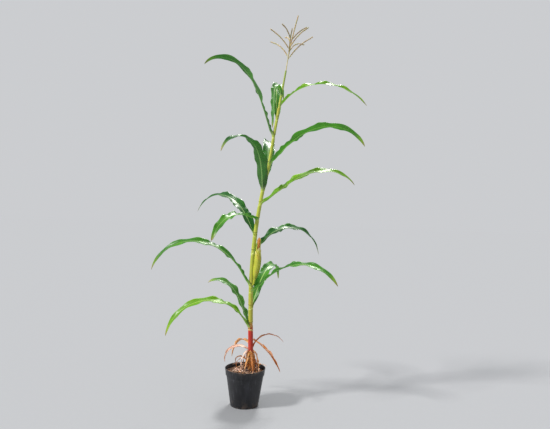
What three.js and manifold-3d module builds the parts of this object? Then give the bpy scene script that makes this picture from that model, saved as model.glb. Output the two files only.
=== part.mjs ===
// Maize plant in a round nursery pot.
// Millimetres, +Z up, origin at the middle of the pot's underside, +X to the viewer's right.

import * as THREE from 'three';
import { mergeVertices } from 'three/addons/utils/BufferGeometryUtils.js';
import Module from 'manifold-3d';

const wasm = await Module();
wasm.setup();

// Clearance that every piece keeps to the one that carries it.
const GAP = 0.3;
// Vertices closer together than this are one.
const WELD_DISTANCE = 1e-4;

// Pot: a thin tapered wall with a band that stands proud round its mouth.
const POT_HEIGHT = 228;
const POT_FOOT_RADIUS = 86;
const POT_SHOULDER_HEIGHT = 188;
const POT_SHOULDER_RADIUS = 115;
const POT_BAND_RADIUS = 120;
const POT_MOUTH_RADIUS = 125;
const POT_WALL = 3.2;
const POT_FOOT_ROUND = 3;
const POT_SIDES = 36;
const DRAIN_HOLES = 6;
const DRAIN_RADIUS = 6;
const DRAIN_CIRCLE = 58;
const DRAIN_SIDES = 12;

// Soil: fills the pot to a little below its mouth, flat in the middle.
const SOIL_TOP = 210;
const SOIL_EDGE = 204;
const SOIL_FLAT_RADIUS = 66;

// Stalk: height over the bench and sideways offset of its middle line, station by station.
const STALK_STATIONS = [
  [210, 35], [480, 25], [730, 21], [940, 28], [1140, 48], [1330, 78],
  [1480, 110], [1650, 134], [1835, 163], [2060, 198],
];
const STALK_DEPTH_SWAY = 12;
const STALK_SWAY_TURNS = 0.75;
const STALK_SIDES = 12;
const STALK_SAMPLE_COUNT = 400;
const STALK_TAPER_POWER = 1.5;
// Bare radius of the stalk at the soil, above the foot flare, and at its top.
const STALK_FOOT_RADIUS = 17.5;
const STALK_LOW_RADIUS = 14;
const STALK_TOP_RADIUS = 5.4;
const STALK_FLARE_HEIGHT = 60;
const STALK_FOOT_RINGS = [14, 34, 64, 120, 180];
const SHEATH_THICKNESS = 1.8;
const SHEATH_STEP = 1.5;
const NODE_BULGE = 1;
const NODE_RISE = 17;
const NODE_FADE = 3;

// Blades: how thick a blade is for its length, and how it opens out from the stalk.
const BLADE_THICKNESS_SHARE = 0.01;
const BLADE_EDGE_SHARE = 0.3;
const BLADE_FOOT_THICKNESS = 3.6;
const BLADE_SECTIONS = 9;
const BLADE_COLUMNS = 4;
const BLADE_TIP_HALF_WIDTH = 1.4;
const BLADE_FOOT_WRAP = 1.2;
const BLADE_OPENING_LENGTH = 38;
const BLADE_FOLD = 0.42;
const BLADE_WIDEST_AT = 0.32;
const BLADE_TAPER_POWER = 1.7;
const BLADE_EDGE_PHASE = 2.1;
const BLADE_FOOT_LIFT = 3;
const BLADE_FOOT_CLEARANCE = 0.45;
const BLADE_FOOT_INSET = 0.44;
// Height of stalk that a clasping foot reaches over.
const BLADE_FOOT_GRIP = 7;
const SPINE_STEPS = 120;

// The sizes that shape one blade. height is its collar's; heading is 0 along +X and 90 away from
// the viewer; rise and fall are its slopes in degrees at the foot and at the tip. Where hold is
// over 1 it bends late, and by the share settle of its length it has reached its fall. turn is
// how far its heading changes along it, and twist how far it rolls about its own length.
function blade(height, heading, length, halfWidth, [rise, fall], hold, turn, twist, settle = 1) {
  return { height, heading, length, halfWidth, rise, fall, hold, turn, twist, settle };
}

// Green leaves, from the lowest up.
const LEAVES = [
  blade(468, 187, 680, 33, [71, -80], 0.98, 6, -44),
  blade(492, 164, 420, 32, [70, -44], 2.9, 14, -40),
  blade(598, 62, 690, 34, [62, -62], 1.4, 20, 35),
  blade(694, -14, 640, 33, [50, -58], 1.5, -16, 36),
  blade(730, 184, 805, 35, [65, -75], 1.37, -6, -46),
  blade(940, 24, 620, 37, [60, -78], 1.15, 12, 48),
  blade(1046, 132, 700, 40, [60, -60], 1.5, 10, -34),
  blade(1139, 226, 440, 35, [24, -70], 1.2, 10, -30),
  blade(1236, 20, 700, 40, [40, -56], 2.4, -14, 40),
  blade(1322, 262, 600, 42, [80, -76], 1.8, -54, -16),
  blade(1402, 84, 720, 40, [60, -58], 1.6, 16, 28),
  blade(1484, -18, 695, 39, [51, -64], 1.76, 14, -38),
  blade(1652, 172, 740, 36, [72, -56], 3.3, 10, 40),
  blade(1765, 98, 620, 35, [66, -50], 1.7, -24, 30),
  blade(1838, 4, 640, 33, [66, -46], 0.8, 10, 46),
  blade(1906, 246, 360, 20, [72, -87], 1.1, 4, 24, 0.4),
];
const LEAF_WAVE = 7;
const LEAF_WAVE_COUNT = 5;

// Dry leaves at the foot of the stalk: narrow, rolled lengthwise and bent sharply.
const DRY_LEAVES = [
  blade(398, -6, 262, 16, [-26, -66], 0.9, -10, 50),
  blade(338, 182, 206, 17, [30, -104], 1.2, 8, -50),
  blade(262, 164, 128, 9, [38, -88], 2.4, 24, 20, 0.75),
  blade(366, 116, 310, 18, [14, -84], 1.2, 14, 36),
  blade(350, 30, 250, 8, [72, -56], 0.9, -18, 30),
  blade(290, 96, 168, 13, [24, -66], 1.2, 18, -34),
];
const DRY_WAVE = 3;
const DRY_WAVE_COUNT = 6;
const DRY_FOLD = 1;
const DRY_SECTIONS = 7;

// Torn sheaths that hang down round the foot of the stalk.
const DRY_SHEATHS = [
  blade(330, 232, 112, 11, [-76, -60], 1.5, 6, 8),
  blade(322, 308, 108, 10, [-78, -58], 1.6, -6, -8),
  blade(316, 18, 100, 10, [-76, -56], 1.5, 8, 10),
];
const SHEATH_STRIP_FOLD = -0.7;
const SHEATH_STRIP_WAVE = 1.5;
const SHEATH_STRIP_WAVE_COUNT = 3;

// Ear: a closed husk on a short shank, with a tuft of dry silk.
const EAR_HEADING = -32;
const EAR_FOOT_HEIGHT = 752;
const EAR_LENGTH = 222;
const EAR_RADIUS = 19;
const EAR_SHANK_RADIUS = 6;
const EAR_TIP_RADIUS = 13;
const EAR_LEAN_OUT = 21;
const EAR_TIP_LEAN_OUT = 28;
const EAR_FOOT_CLEARANCE = 0.9;
const EAR_WIDEST_FROM = 0.45;
const EAR_WIDEST_TO = 0.6;
const EAR_SIDES = 12;
const EAR_SECTIONS = 11;
const SILK_LENGTH = 62;
const SILK_RADIUS = 12;
const SILK_TIP_RADIUS = 2;
const SILK_SECTIONS = 5;

// Tassel: a central spike with slender side branches.
const TASSEL_STEM_RADIUS = 3.6;
const TASSEL_LENGTH = 345;
const TASSEL_LEAN = 7;
const TASSEL_DROOP = 4;
const TASSEL_TIP_SHARE = 0.6;
const TASSEL_BRANCHES = 9;
const TASSEL_BRANCH_FOOT = 70;
const TASSEL_BRANCH_STEP = 15;
const TASSEL_BRANCH_LENGTH = 205;
const TASSEL_BRANCH_RADIUS = 2.7;
const TASSEL_TOP_BRANCH_SHARE = 0.62;
const TASSEL_BRANCH_LEAN = 30;
const TASSEL_BRANCH_DROOPS = [16, 21, 26, 31];
const TASSEL_SIDES = 6;
const TASSEL_SECTIONS = 8;
const GOLDEN_ANGLE = 137.5;

const radians = THREE.MathUtils.degToRad;
const { lerp, clamp, smoothstep } = THREE.MathUtils;

function material(colour, roughness) {
  return new THREE.MeshStandardMaterial({ color: colour, roughness, metalness: 0 });
}

const potPlastic = () => material('#1b1c20', 0.55);
const soilCrumb = () => material('#6d4a3c', 0.95);
const stalkSkin = () => material('#a8a83a', 0.5);
const leafGreen = () => material('#3f8a2a', 0.45);
const dryTan = () => material('#b5834c', 0.85);
const huskGreen = () => material('#a9b13c', 0.6);
const silkBrown = () => material('#8a4a1c', 0.85);
const tasselStraw = () => material('#c9b277', 0.8);

// Welds a three.js geometry by position alone.
function weld(geometry) {
  geometry.deleteAttribute('normal');
  geometry.deleteAttribute('uv');
  return mergeVertices(geometry, WELD_DISTANCE);
}

function toSolid(geometry) {
  const welded = weld(geometry);
  return new wasm.Manifold(new wasm.Mesh({
    numProp: 3,
    vertProperties: new Float32Array(welded.attributes.position.array),
    triVerts: new Uint32Array(welded.index.array),
  }));
}

function fromSolid(solid) {
  const mesh = solid.getMesh();
  const geometry = new THREE.BufferGeometry();
  geometry.setAttribute('position', new THREE.BufferAttribute(mesh.vertProperties, 3));
  geometry.setIndex(new THREE.BufferAttribute(mesh.triVerts, 1));
  geometry.computeVertexNormals();
  return geometry;
}

// Moves every vertex of a geometry to where place(x, y, z) says.
function reshape(geometry, place) {
  const positions = geometry.attributes.position;
  for (let i = 0; i < positions.count; i += 1) {
    const point = place(positions.getX(i), positions.getY(i), positions.getZ(i));
    positions.setXYZ(i, point.x, point.y, point.z);
  }
  return weld(geometry);
}

function meshOf(name, geometry, finish) {
  geometry.computeVertexNormals();
  const mesh = new THREE.Mesh(geometry, finish);
  mesh.name = name;
  return mesh;
}

// Lathe profiles are [radius, height] pairs turned about the upright axis.
function turned(profile) {
  const points = profile.map(([radius, height]) => new THREE.Vector2(radius, height));
  return new THREE.LatheGeometry(points, POT_SIDES).rotateX(Math.PI / 2);
}

function potInside(height) {
  return lerp(POT_FOOT_RADIUS, POT_SHOULDER_RADIUS, height / POT_SHOULDER_HEIGHT) - POT_WALL;
}

function bandInside(height) {
  const share = (height - POT_SHOULDER_HEIGHT) / (POT_HEIGHT - POT_SHOULDER_HEIGHT);
  return lerp(POT_BAND_RADIUS, POT_MOUTH_RADIUS, share) - POT_WALL;
}

function makePot() {
  const innerStep = POT_SHOULDER_HEIGHT + POT_WALL;
  let pot = toSolid(turned([
    [0, 0],
    [POT_FOOT_RADIUS - POT_FOOT_ROUND, 0],
    [POT_FOOT_RADIUS, POT_FOOT_ROUND],
    [POT_SHOULDER_RADIUS, POT_SHOULDER_HEIGHT],
    [POT_BAND_RADIUS, POT_SHOULDER_HEIGHT],
    [POT_MOUTH_RADIUS, POT_HEIGHT],
    [POT_MOUTH_RADIUS - POT_WALL, POT_HEIGHT],
    [bandInside(innerStep), innerStep],
    [potInside(innerStep), innerStep],
    [potInside(POT_WALL), POT_WALL],
    [0, POT_WALL],
  ]));
  for (let i = 0; i < DRAIN_HOLES; i += 1) {
    const turn = (i / DRAIN_HOLES) * Math.PI * 2;
    const hole = new THREE.CylinderGeometry(DRAIN_RADIUS, DRAIN_RADIUS, POT_WALL * 4, DRAIN_SIDES)
      .rotateX(Math.PI / 2)
      .translate(DRAIN_CIRCLE * Math.cos(turn), DRAIN_CIRCLE * Math.sin(turn), 0);
    pot = pot.subtract(toSolid(hole));
  }
  return meshOf('pot', fromSolid(pot), potPlastic());
}

function makeSoil() {
  const step = POT_SHOULDER_HEIGHT + POT_WALL + GAP;
  return meshOf('soil', weld(turned([
    [0, POT_WALL + GAP],
    [potInside(POT_WALL + GAP) - GAP, POT_WALL + GAP],
    [potInside(step) - GAP, step],
    [bandInside(step) - GAP, step],
    [bandInside(SOIL_EDGE) - GAP, SOIL_EDGE],
    [SOIL_FLAT_RADIUS, SOIL_TOP],
    [0, SOIL_TOP],
  ])), soilCrumb());
}

// The stalk's middle line, and its radius at any height.
const stalkFoot = SOIL_TOP + GAP;
const stalkTop = STALK_STATIONS[STALK_STATIONS.length - 1][0];
const stalkLine = new THREE.CatmullRomCurve3(STALK_STATIONS.map(([height, offset]) => {
  const share = (height - stalkFoot) / (stalkTop - stalkFoot);
  const sway = STALK_DEPTH_SWAY * Math.sin(share * STALK_SWAY_TURNS * Math.PI * 2);
  return new THREE.Vector3(offset, sway, height);
}), false, 'centripetal');
const stalkSamples = stalkLine.getPoints(STALK_SAMPLE_COUNT);

function stalkCentre(height) {
  let above = stalkSamples.findIndex((point) => point.z >= height);
  above = clamp(above, 1, stalkSamples.length - 1);
  const low = stalkSamples[above - 1];
  const high = stalkSamples[above];
  const share = (height - low.z) / (high.z - low.z);
  return new THREE.Vector3().lerpVectors(low, high, share).setZ(height);
}

function stalkBareRadius(height) {
  const share = clamp((height - stalkFoot) / (stalkTop - stalkFoot), 0, 1);
  const taper = lerp(STALK_LOW_RADIUS, STALK_TOP_RADIUS, share ** STALK_TAPER_POWER);
  const flare = Math.exp(-(height - stalkFoot) / STALK_FLARE_HEIGHT);
  return taper + (STALK_FOOT_RADIUS - STALK_LOW_RADIUS) * flare;
}

// Height and radius of each ring: every leaf's sheath ends in a step at its collar, and a
// swollen node follows a little above it.
function stalkRings() {
  const rings = [[stalkFoot, stalkBareRadius(stalkFoot)]];
  for (const rise of STALK_FOOT_RINGS) {
    rings.push([stalkFoot + rise, stalkBareRadius(stalkFoot + rise)]);
  }
  for (const { height } of LEAVES) {
    const bare = stalkBareRadius(height);
    const bulge = height + NODE_RISE;
    rings.push([height - SHEATH_STEP, bare + SHEATH_THICKNESS]);
    rings.push([height, bare]);
    rings.push([bulge, bare + NODE_BULGE]);
    rings.push([bulge + NODE_FADE, bare]);
  }
  rings.push([stalkTop, STALK_TOP_RADIUS]);
  return rings;
}

function makeStalk() {
  const rings = stalkRings();
  const steps = rings.length - 1;
  const geometry = new THREE.CylinderGeometry(1, 1, steps, STALK_SIDES, steps);
  return meshOf('stalk', reshape(geometry, (x, y, z) => {
    const [height, radius] = rings[Math.round(y + steps / 2)];
    return stalkCentre(height).add(new THREE.Vector3(z * radius, x * radius, 0));
  }), stalkSkin());
}

// One blade's middle line with its frames, walked outwards from the stalk in small steps.
function bladeSpine(leaf) {
  const heading = radians(leaf.heading);
  const near = stalkBareRadius(leaf.height) + BLADE_FOOT_CLEARANCE;
  const footAngle = Math.min(BLADE_FOOT_WRAP, leaf.halfWidth / (near + BLADE_FOOT_THICKNESS / 2));
  const columnSag = Math.cos(footAngle / BLADE_COLUMNS);
  const footRadius = near / columnSag + BLADE_FOOT_THICKNESS * BLADE_FOOT_INSET;
  const steepness = Math.abs(Math.sin(radians(leaf.rise)));
  const out = new THREE.Vector3(Math.cos(heading), Math.sin(heading), 0);
  const place = stalkCentre(leaf.height);
  const leanOut = stalkCentre(leaf.height + BLADE_FOOT_GRIP).sub(place).dot(out);
  place.addScaledVector(out, lerp(near, footRadius, steepness) + Math.max(leanOut, 0));
  place.z += BLADE_FOOT_LIFT;
  const frames = [];
  for (let i = 0; i <= SPINE_STEPS; i += 1) {
    const share = i / SPINE_STEPS;
    const bend = Math.min(1, share / leaf.settle) ** leaf.hold;
    const slope = radians(lerp(leaf.rise, leaf.fall, bend));
    const bearing = heading + radians(leaf.turn) * share;
    const along = new THREE.Vector3(
      Math.cos(slope) * Math.cos(bearing),
      Math.cos(slope) * Math.sin(bearing),
      Math.sin(slope),
    );
    const side = new THREE.Vector3(-Math.sin(bearing), Math.cos(bearing), 0);
    side.applyAxisAngle(along, radians(leaf.twist) * share);
    const up = new THREE.Vector3().crossVectors(along, side);
    frames.push({ place: place.clone(), side, up });
    place.addScaledVector(along, leaf.length / SPINE_STEPS);
  }
  return { frames, footRadius };
}

function frameAt(frames, share) {
  const exact = clamp(share, 0, 1) * SPINE_STEPS;
  const low = Math.min(Math.floor(exact), SPINE_STEPS - 1);
  const part = exact - low;
  const from = frames[low];
  const to = frames[low + 1];
  return {
    place: new THREE.Vector3().lerpVectors(from.place, to.place, part),
    side: new THREE.Vector3().lerpVectors(from.side, to.side, part).normalize(),
    up: new THREE.Vector3().lerpVectors(from.up, to.up, part).normalize(),
  };
}

// Half the blade's width: a clasping foot, widest a third of the way out, then a long taper.
function bladeHalfWidth(leaf, share, footHalfWidth) {
  const opened = smoothstep(share, 0, BLADE_WIDEST_AT);
  const widened = lerp(footHalfWidth, leaf.halfWidth, opened);
  const beyond = clamp((share - BLADE_WIDEST_AT) / (1 - BLADE_WIDEST_AT), 0, 1);
  const taper = Math.sqrt(1 - beyond ** BLADE_TAPER_POWER);
  return Math.max(widened * taper, BLADE_TIP_HALF_WIDTH);
}

// A point of a blade: across runs from -1 to 1 edge to edge, and face is -1 below and 1 above.
function bladePoint(leaf, spine, share, across, face) {
  const { place, side, up } = frameAt(spine.frames, share);
  const run = share * leaf.length;
  const opening = Math.exp(-run / BLADE_OPENING_LENGTH);
  const footHalfWidth = Math.min(spine.footRadius * BLADE_FOOT_WRAP, leaf.halfWidth);
  const wrap = Math.sign(leaf.fold) * footHalfWidth / spine.footRadius;
  const half = lerp(leaf.fold, wrap, opening);
  const width = bladeHalfWidth(leaf, share, footHalfWidth);
  const curve = width / half;
  const turn = half * across;
  const full = lerp(BLADE_THICKNESS_SHARE * leaf.length, BLADE_FOOT_THICKNESS, opening);
  const middle = Math.min(full, Math.max(width / 2, BLADE_TIP_HALF_WIDTH));
  const thick = middle * lerp(1, BLADE_EDGE_SHARE, across * across);
  const phase = leaf.heading + (across > 0 ? 0 : BLADE_EDGE_PHASE);
  const ripple = Math.sin(share * leaf.waveCount * Math.PI * 2 + phase);
  const waviness = leaf.wave * smoothstep(share, 0, BLADE_WIDEST_AT) * (1 - share ** 3);
  const wave = waviness * ripple * across * across;
  const sideways = curve * Math.sin(turn) - Math.sin(turn) * face * thick / 2;
  const upward = curve * (1 - Math.cos(turn)) + Math.cos(turn) * face * thick / 2 + wave;
  return place.addScaledVector(side, sideways).addScaledVector(up, upward);
}

// The stretch of a blade between two shares of its length, as one thin closed solid.
function makeBlade(name, leaf, from, to, sections, finish) {
  const spine = bladeSpine(leaf);
  const geometry = new THREE.BoxGeometry(2, 2, 1, BLADE_COLUMNS, 1, sections);
  return meshOf(name, reshape(geometry, (x, y, z) => (
    bladePoint(leaf, spine, lerp(from, to, z + 0.5), x, y)
  )), finish);
}

// A blade that bends right over is two solids that meet at the bend, GAP apart.
function makeLeaf(name, leaf, sections, finish) {
  const split = leaf.settle * clamp(leaf.hold ** 0.25 / 2, 0.4, 0.6);
  const slit = GAP / 2 / leaf.length;
  return [
    makeBlade(`${name}_inner`, leaf, 0, split - slit, sections, finish()),
    makeBlade(`${name}_outer`, leaf, split + slit, 1, sections, finish()),
  ];
}

const twoDigits = (number) => String(number).padStart(2, '0');

function makeLeaves() {
  const shape = { fold: BLADE_FOLD, wave: LEAF_WAVE, waveCount: LEAF_WAVE_COUNT };
  return LEAVES.flatMap((leaf, i) => (
    makeLeaf(`leaf_${twoDigits(i + 1)}`, { ...leaf, ...shape }, BLADE_SECTIONS, leafGreen)
  ));
}

function makeDryLeaves() {
  const shape = { fold: DRY_FOLD, wave: DRY_WAVE, waveCount: DRY_WAVE_COUNT };
  return DRY_LEAVES.flatMap((leaf, i) => (
    makeLeaf(`dry_leaf_${i + 1}`, { ...leaf, ...shape }, DRY_SECTIONS, dryTan)
  ));
}

function makeDrySheaths() {
  const shape = { fold: SHEATH_STRIP_FOLD, wave: SHEATH_STRIP_WAVE, waveCount: SHEATH_STRIP_WAVE_COUNT };
  return DRY_SHEATHS.map((strip, i) => (
    makeBlade(`dry_sheath_${i + 1}`, { ...strip, ...shape }, 0, 1, DRY_SECTIONS, dryTan())
  ));
}

// A tapering rod that follows a line, with its radius given along it.
function rod(line, radiusAt, sides, sections) {
  const geometry = new THREE.CylinderGeometry(1, 1, 1, sides, sections);
  const frames = line.computeFrenetFrames(sections, false);
  return reshape(geometry, (x, y, z) => {
    const share = y + 0.5;
    const row = Math.round(share * sections);
    const radius = radiusAt(share);
    return line.getPointAt(share)
      .addScaledVector(frames.normals[row], z * radius)
      .addScaledVector(frames.binormals[row], x * radius);
  });
}

// The ear stands in the angle between the stalk and its leaf, its foot close to the stalk.
function earLine() {
  const heading = radians(EAR_HEADING);
  const out = new THREE.Vector3(Math.cos(heading), Math.sin(heading), 0);
  const reach = stalkBareRadius(EAR_FOOT_HEIGHT) + EAR_SHANK_RADIUS + EAR_FOOT_CLEARANCE;
  const foot = stalkCentre(EAR_FOOT_HEIGHT).addScaledVector(out, reach);
  const middle = foot.clone().addScaledVector(out, EAR_LEAN_OUT).setZ(EAR_FOOT_HEIGHT + EAR_LENGTH / 2);
  const tip = foot.clone().addScaledVector(out, EAR_TIP_LEAN_OUT).setZ(EAR_FOOT_HEIGHT + EAR_LENGTH);
  return new THREE.CatmullRomCurve3([foot, middle, tip]);
}

function earRadius(share) {
  const swollen = lerp(EAR_SHANK_RADIUS, EAR_RADIUS, smoothstep(share, 0, EAR_WIDEST_FROM));
  return lerp(swollen, EAR_TIP_RADIUS, smoothstep(share, EAR_WIDEST_TO, 1));
}

function makeEar() {
  return meshOf('ear_husk', rod(earLine(), earRadius, EAR_SIDES, EAR_SECTIONS), huskGreen());
}

function makeSilk() {
  const line = earLine();
  const along = line.getTangentAt(1);
  const start = line.getPointAt(1).addScaledVector(along, GAP);
  const end = start.clone().addScaledVector(along, SILK_LENGTH);
  const radius = (share) => Math.max(SILK_RADIUS * Math.sqrt(1 - share ** 3), SILK_TIP_RADIUS);
  const tuft = rod(new THREE.LineCurve3(start, end), radius, EAR_SIDES, SILK_SECTIONS);
  return meshOf('ear_silk', tuft, silkBrown());
}

// A slender stem's middle line: it leaves at lean degrees off upright and droops along its length.
function tasselLine(start, heading, length, lean, droop) {
  const out = new THREE.Vector3(Math.cos(heading), Math.sin(heading), 0);
  const points = [0, 1 / 3, 2 / 3, 1].map((share) => {
    const angle = radians(lean + droop * share);
    return start.clone()
      .addScaledVector(out, length * share * Math.sin(angle))
      .add(new THREE.Vector3(0, 0, length * share * Math.cos(angle)));
  });
  return new THREE.CatmullRomCurve3(points);
}

function tasselRod(line, radius) {
  const radiusAt = (share) => radius * lerp(1, TASSEL_TIP_SHARE, share);
  return toSolid(rod(line, radiusAt, TASSEL_SIDES, TASSEL_SECTIONS));
}

function makeTassel() {
  // Room for the low edge of its slanting foot over the top of the stalk.
  const footDip = TASSEL_STEM_RADIUS * Math.sin(radians(TASSEL_LEAN * 2));
  const start = stalkCentre(stalkTop).setZ(stalkTop + GAP + footDip);
  const spine = tasselLine(start, 0, TASSEL_LENGTH, TASSEL_LEAN, TASSEL_DROOP);
  let tassel = tasselRod(spine, TASSEL_STEM_RADIUS);
  for (let i = 0; i < TASSEL_BRANCHES; i += 1) {
    const foot = spine.getPointAt((TASSEL_BRANCH_FOOT + TASSEL_BRANCH_STEP * i) / TASSEL_LENGTH);
    const heading = radians(GOLDEN_ANGLE * i);
    const length = TASSEL_BRANCH_LENGTH * lerp(1, TASSEL_TOP_BRANCH_SHARE, i / TASSEL_BRANCHES);
    const droop = TASSEL_BRANCH_DROOPS[i % TASSEL_BRANCH_DROOPS.length];
    const line = tasselLine(foot, heading, length, TASSEL_BRANCH_LEAN, droop);
    tassel = tassel.add(tasselRod(line, TASSEL_BRANCH_RADIUS));
  }
  return meshOf('tassel', fromSolid(tassel), tasselStraw());
}

const maizePlant = new THREE.Group();
maizePlant.add(makePot(), makeSoil(), makeStalk());
maizePlant.add(...makeLeaves());
maizePlant.add(makeEar(), makeSilk(), makeTassel());
maizePlant.add(...makeDryLeaves());
maizePlant.add(...makeDrySheaths());

export default maizePlant;
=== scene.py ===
# %% [markdown]
# # A maize plant in a nursery pot
#
# Maize is one tall culm with a strap-shaped leaf at every node, an ear low down in the angle of a
# leaf and a tassel at the top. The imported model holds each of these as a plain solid, at its true
# size and place. This lesson gives each one the surface that the real plant shows: veins,
# midribs, ruffled edges, papery dead leaves, crumbly soil and a scuffed pot.
#
# Lengths are in millimetres until `finish_piece` turns a mesh into metres.

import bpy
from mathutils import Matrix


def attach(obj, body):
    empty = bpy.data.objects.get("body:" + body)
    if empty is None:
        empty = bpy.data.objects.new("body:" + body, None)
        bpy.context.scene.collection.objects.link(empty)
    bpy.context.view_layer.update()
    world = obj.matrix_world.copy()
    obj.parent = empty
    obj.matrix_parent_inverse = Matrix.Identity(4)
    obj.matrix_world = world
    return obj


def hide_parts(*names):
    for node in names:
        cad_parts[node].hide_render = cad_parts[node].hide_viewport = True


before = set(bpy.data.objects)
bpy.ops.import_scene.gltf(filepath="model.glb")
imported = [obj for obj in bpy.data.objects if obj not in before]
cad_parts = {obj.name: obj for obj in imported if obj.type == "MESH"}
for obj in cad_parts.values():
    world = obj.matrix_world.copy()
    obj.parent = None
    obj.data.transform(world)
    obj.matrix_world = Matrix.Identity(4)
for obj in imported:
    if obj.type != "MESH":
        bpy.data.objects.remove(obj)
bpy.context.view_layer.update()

# %% [markdown]
# ## Tools
#
# Most of this plant is thin sheets and slender tubes, so two helpers make nearly everything. A
# sheet starts as a flat grid whose vertices are moved to where a rule says. A tube is the same
# grid rolled up, with its seam welded and its ends filled. Starting from the grid operator keeps
# the faces even and gives each piece a UV map that runs along and across it, which the veins and
# ribs need.

# %% Tools for numbers
import math
import random
from typing import NamedTuple

import bmesh
import bpy
import numpy as np
from mathutils import Euler, Matrix, Vector, noise

MM = 0.001
GOLDEN_ANGLE = math.radians(137.5)
TURN = 2 * math.pi


def mix(start, end, share):
    """The value that lies the given share of the way from start to end."""
    return start + (end - start) * share


def ease(value, low, high):
    """0 below low, 1 above high, and a smooth rise between them."""
    part = np.clip((value - low) / (high - low), 0, 1)
    return part * part * (3 - 2 * part)


def wander(x, y, z, seed):
    """A smooth random number between -1 and 1 that changes over distances of about 1."""
    return noise.noise(Vector((x + seed * 17.3, y - seed * 9.1, z + seed * 3.7)))


def unit(rows):
    """Rows of vectors, each brought to a length of 1."""
    return rows / np.linalg.norm(rows, axis=-1, keepdims=True)


def heading_vector(angle):
    """The level direction at an angle from +X."""
    return np.array((math.cos(angle), math.sin(angle), 0.0))


# %% Tools for curves
def smooth_curve(points, steps):
    """Points along the centripetal curve that passes through the given ones."""
    points = [Vector(point) for point in points]
    ends = [points[0] * 2 - points[1], *points, points[-1] * 2 - points[-2]]
    curve = []
    for i in range(steps + 1):
        exact = i / steps * (len(points) - 1)
        leg = min(int(exact), len(points) - 2)
        before, start, end, after = ends[leg:leg + 4]
        first, middle, last = (
            math.sqrt((b - a).length)
            for a, b in ((before, start), (start, end), (end, after))
        )
        leaving = (start - before) / first - (end - before) / (first + middle) + (end - start) / middle
        arriving = (end - start) / middle - (after - start) / (middle + last) + (after - end) / last
        leaving *= middle
        arriving *= middle
        part = exact - leg
        bend = 3 * (end - start) - 2 * leaving - arriving
        twist = 2 * (start - end) + leaving + arriving
        curve.append(start + leaving * part + bend * part ** 2 + twist * part ** 3)
    return np.array(curve)


def evenly(points, count):
    """count + 1 points spaced evenly by length along a line of points."""
    lengths = np.concatenate([[0], np.cumsum(np.linalg.norm(np.diff(points, axis=0), axis=1))])
    wanted = np.linspace(0, lengths[-1], count + 1)
    return np.stack([np.interp(wanted, lengths, points[:, axis]) for axis in range(3)], axis=1)


def frames_along(points):
    """The tangents of a line of points and two directions across it that don't twist."""
    tangents = unit(np.gradient(points, axis=0))
    across = np.cross(tangents[0], (0.0, 1.0, 0.0))
    normals = []
    for tangent in tangents:
        across = across - tangent * np.dot(across, tangent)
        across = across / np.linalg.norm(across)
        normals.append(across)
    normals = np.array(normals)
    return tangents, normals, np.cross(tangents, normals)


# %% Tools for meshes
SEAM = 1e-3


def new_mesh(map_name="skin"):
    """An empty bmesh whose UV map has the given name."""
    bm = bmesh.new()
    bm.loops.layers.uv.new(map_name)
    return bm


def add_sheet(bm, rows, columns, place):
    """A sheet whose vertices are at place(along, across), with both running from 0 to 1."""
    made = bmesh.ops.create_grid(bm, x_segments=rows, y_segments=columns, size=1, calc_uvs=True)
    grid = np.array([vertex.co for vertex in made["verts"]])
    points = place((grid[:, 0] + 1) / 2, (grid[:, 1] + 1) / 2)
    for vertex, point in zip(made["verts"], points):
        vertex.co = point
    return made["verts"]


def add_tube(bm, rows, columns, place):
    """A closed tube whose skin is at place(along, turn), with turn an angle round it."""
    made = add_sheet(bm, rows, columns, lambda along, across: place(along, -across * TURN))
    bmesh.ops.remove_doubles(bm, verts=made, dist=SEAM)
    kept = [vertex for vertex in made if vertex.is_valid]
    rims = {edge for vertex in kept for edge in vertex.link_edges if edge.is_boundary}
    bmesh.ops.holes_fill(bm, edges=list(rims), sides=0)
    return kept


def add_rod(bm, points, radii, columns):
    """A closed rod round a line of points, with a radius at each point."""
    _, normals, binormals = frames_along(points)
    radii = np.asarray(radii, float)

    def place(along, turn):
        row = np.rint(along * (len(points) - 1)).astype(int)
        outward = normals[row] * np.cos(turn)[:, None] + binormals[row] * np.sin(turn)[:, None]
        return points[row] + outward * radii[row][:, None]

    return add_tube(bm, len(points) - 1, columns, place)


# %% [markdown]
# Every piece ends in the same way: its mesh is turned into metres, gets its materials, rides on the
# plant's one body and hides the solids that it stands for. Thin pieces then get a Solidify modifier,
# which keeps the sheet itself simple and grows its thickness away from the face that shows.

# %% Tools for pieces
def mesh_from(bm, name):
    """A mesh made of a bmesh, which is then freed."""
    mesh = bpy.data.meshes.new(name)
    bm.to_mesh(mesh)
    bm.free()
    return mesh


def add_object(name, data):
    """A new object in the scene, at the origin."""
    made = bpy.data.objects.new(name, data)
    bpy.context.scene.collection.objects.link(made)
    return made


def finish_piece(bm, name, materials, replaced=(), smooth=True):
    """Turns a bmesh in millimetres into an object in metres that rides with the plant."""
    bmesh.ops.scale(bm, vec=(MM, MM, MM), verts=bm.verts)
    mesh = mesh_from(bm, name)
    if smooth:
        mesh.shade_smooth()
    for material in materials:
        mesh.materials.append(material)
    piece = add_object(name, mesh)
    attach(piece, "root")
    if replaced:
        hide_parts(*replaced)
    print(f"{name}: {len(mesh.polygons)} faces")
    return piece


def thicken(piece, thickness, weights=None, under=0):
    """Gives a sheet its thickness below its upper face, varied by a weight for each vertex."""
    shell = piece.modifiers.new("thickness", "SOLIDIFY")
    shell.thickness = thickness * MM
    shell.offset = -1
    shell.material_offset = under
    shell.material_offset_rim = under
    if weights is not None:
        group = piece.vertex_groups.new(name="thickness")
        for index, weight in enumerate(weights):
            group.add([index], float(weight), "REPLACE")
        shell.vertex_group = group.name


# %% [markdown]
# ## Tools for materials
#
# A plant's colours are layers: a base tint, slow blotches, fast streaks along the fibres and a few
# bands with a place of their own, such as a midrib. Each helper below adds one kind of node and
# gives back the socket to go on from, so that a finish reads as a short list of layers.

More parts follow.
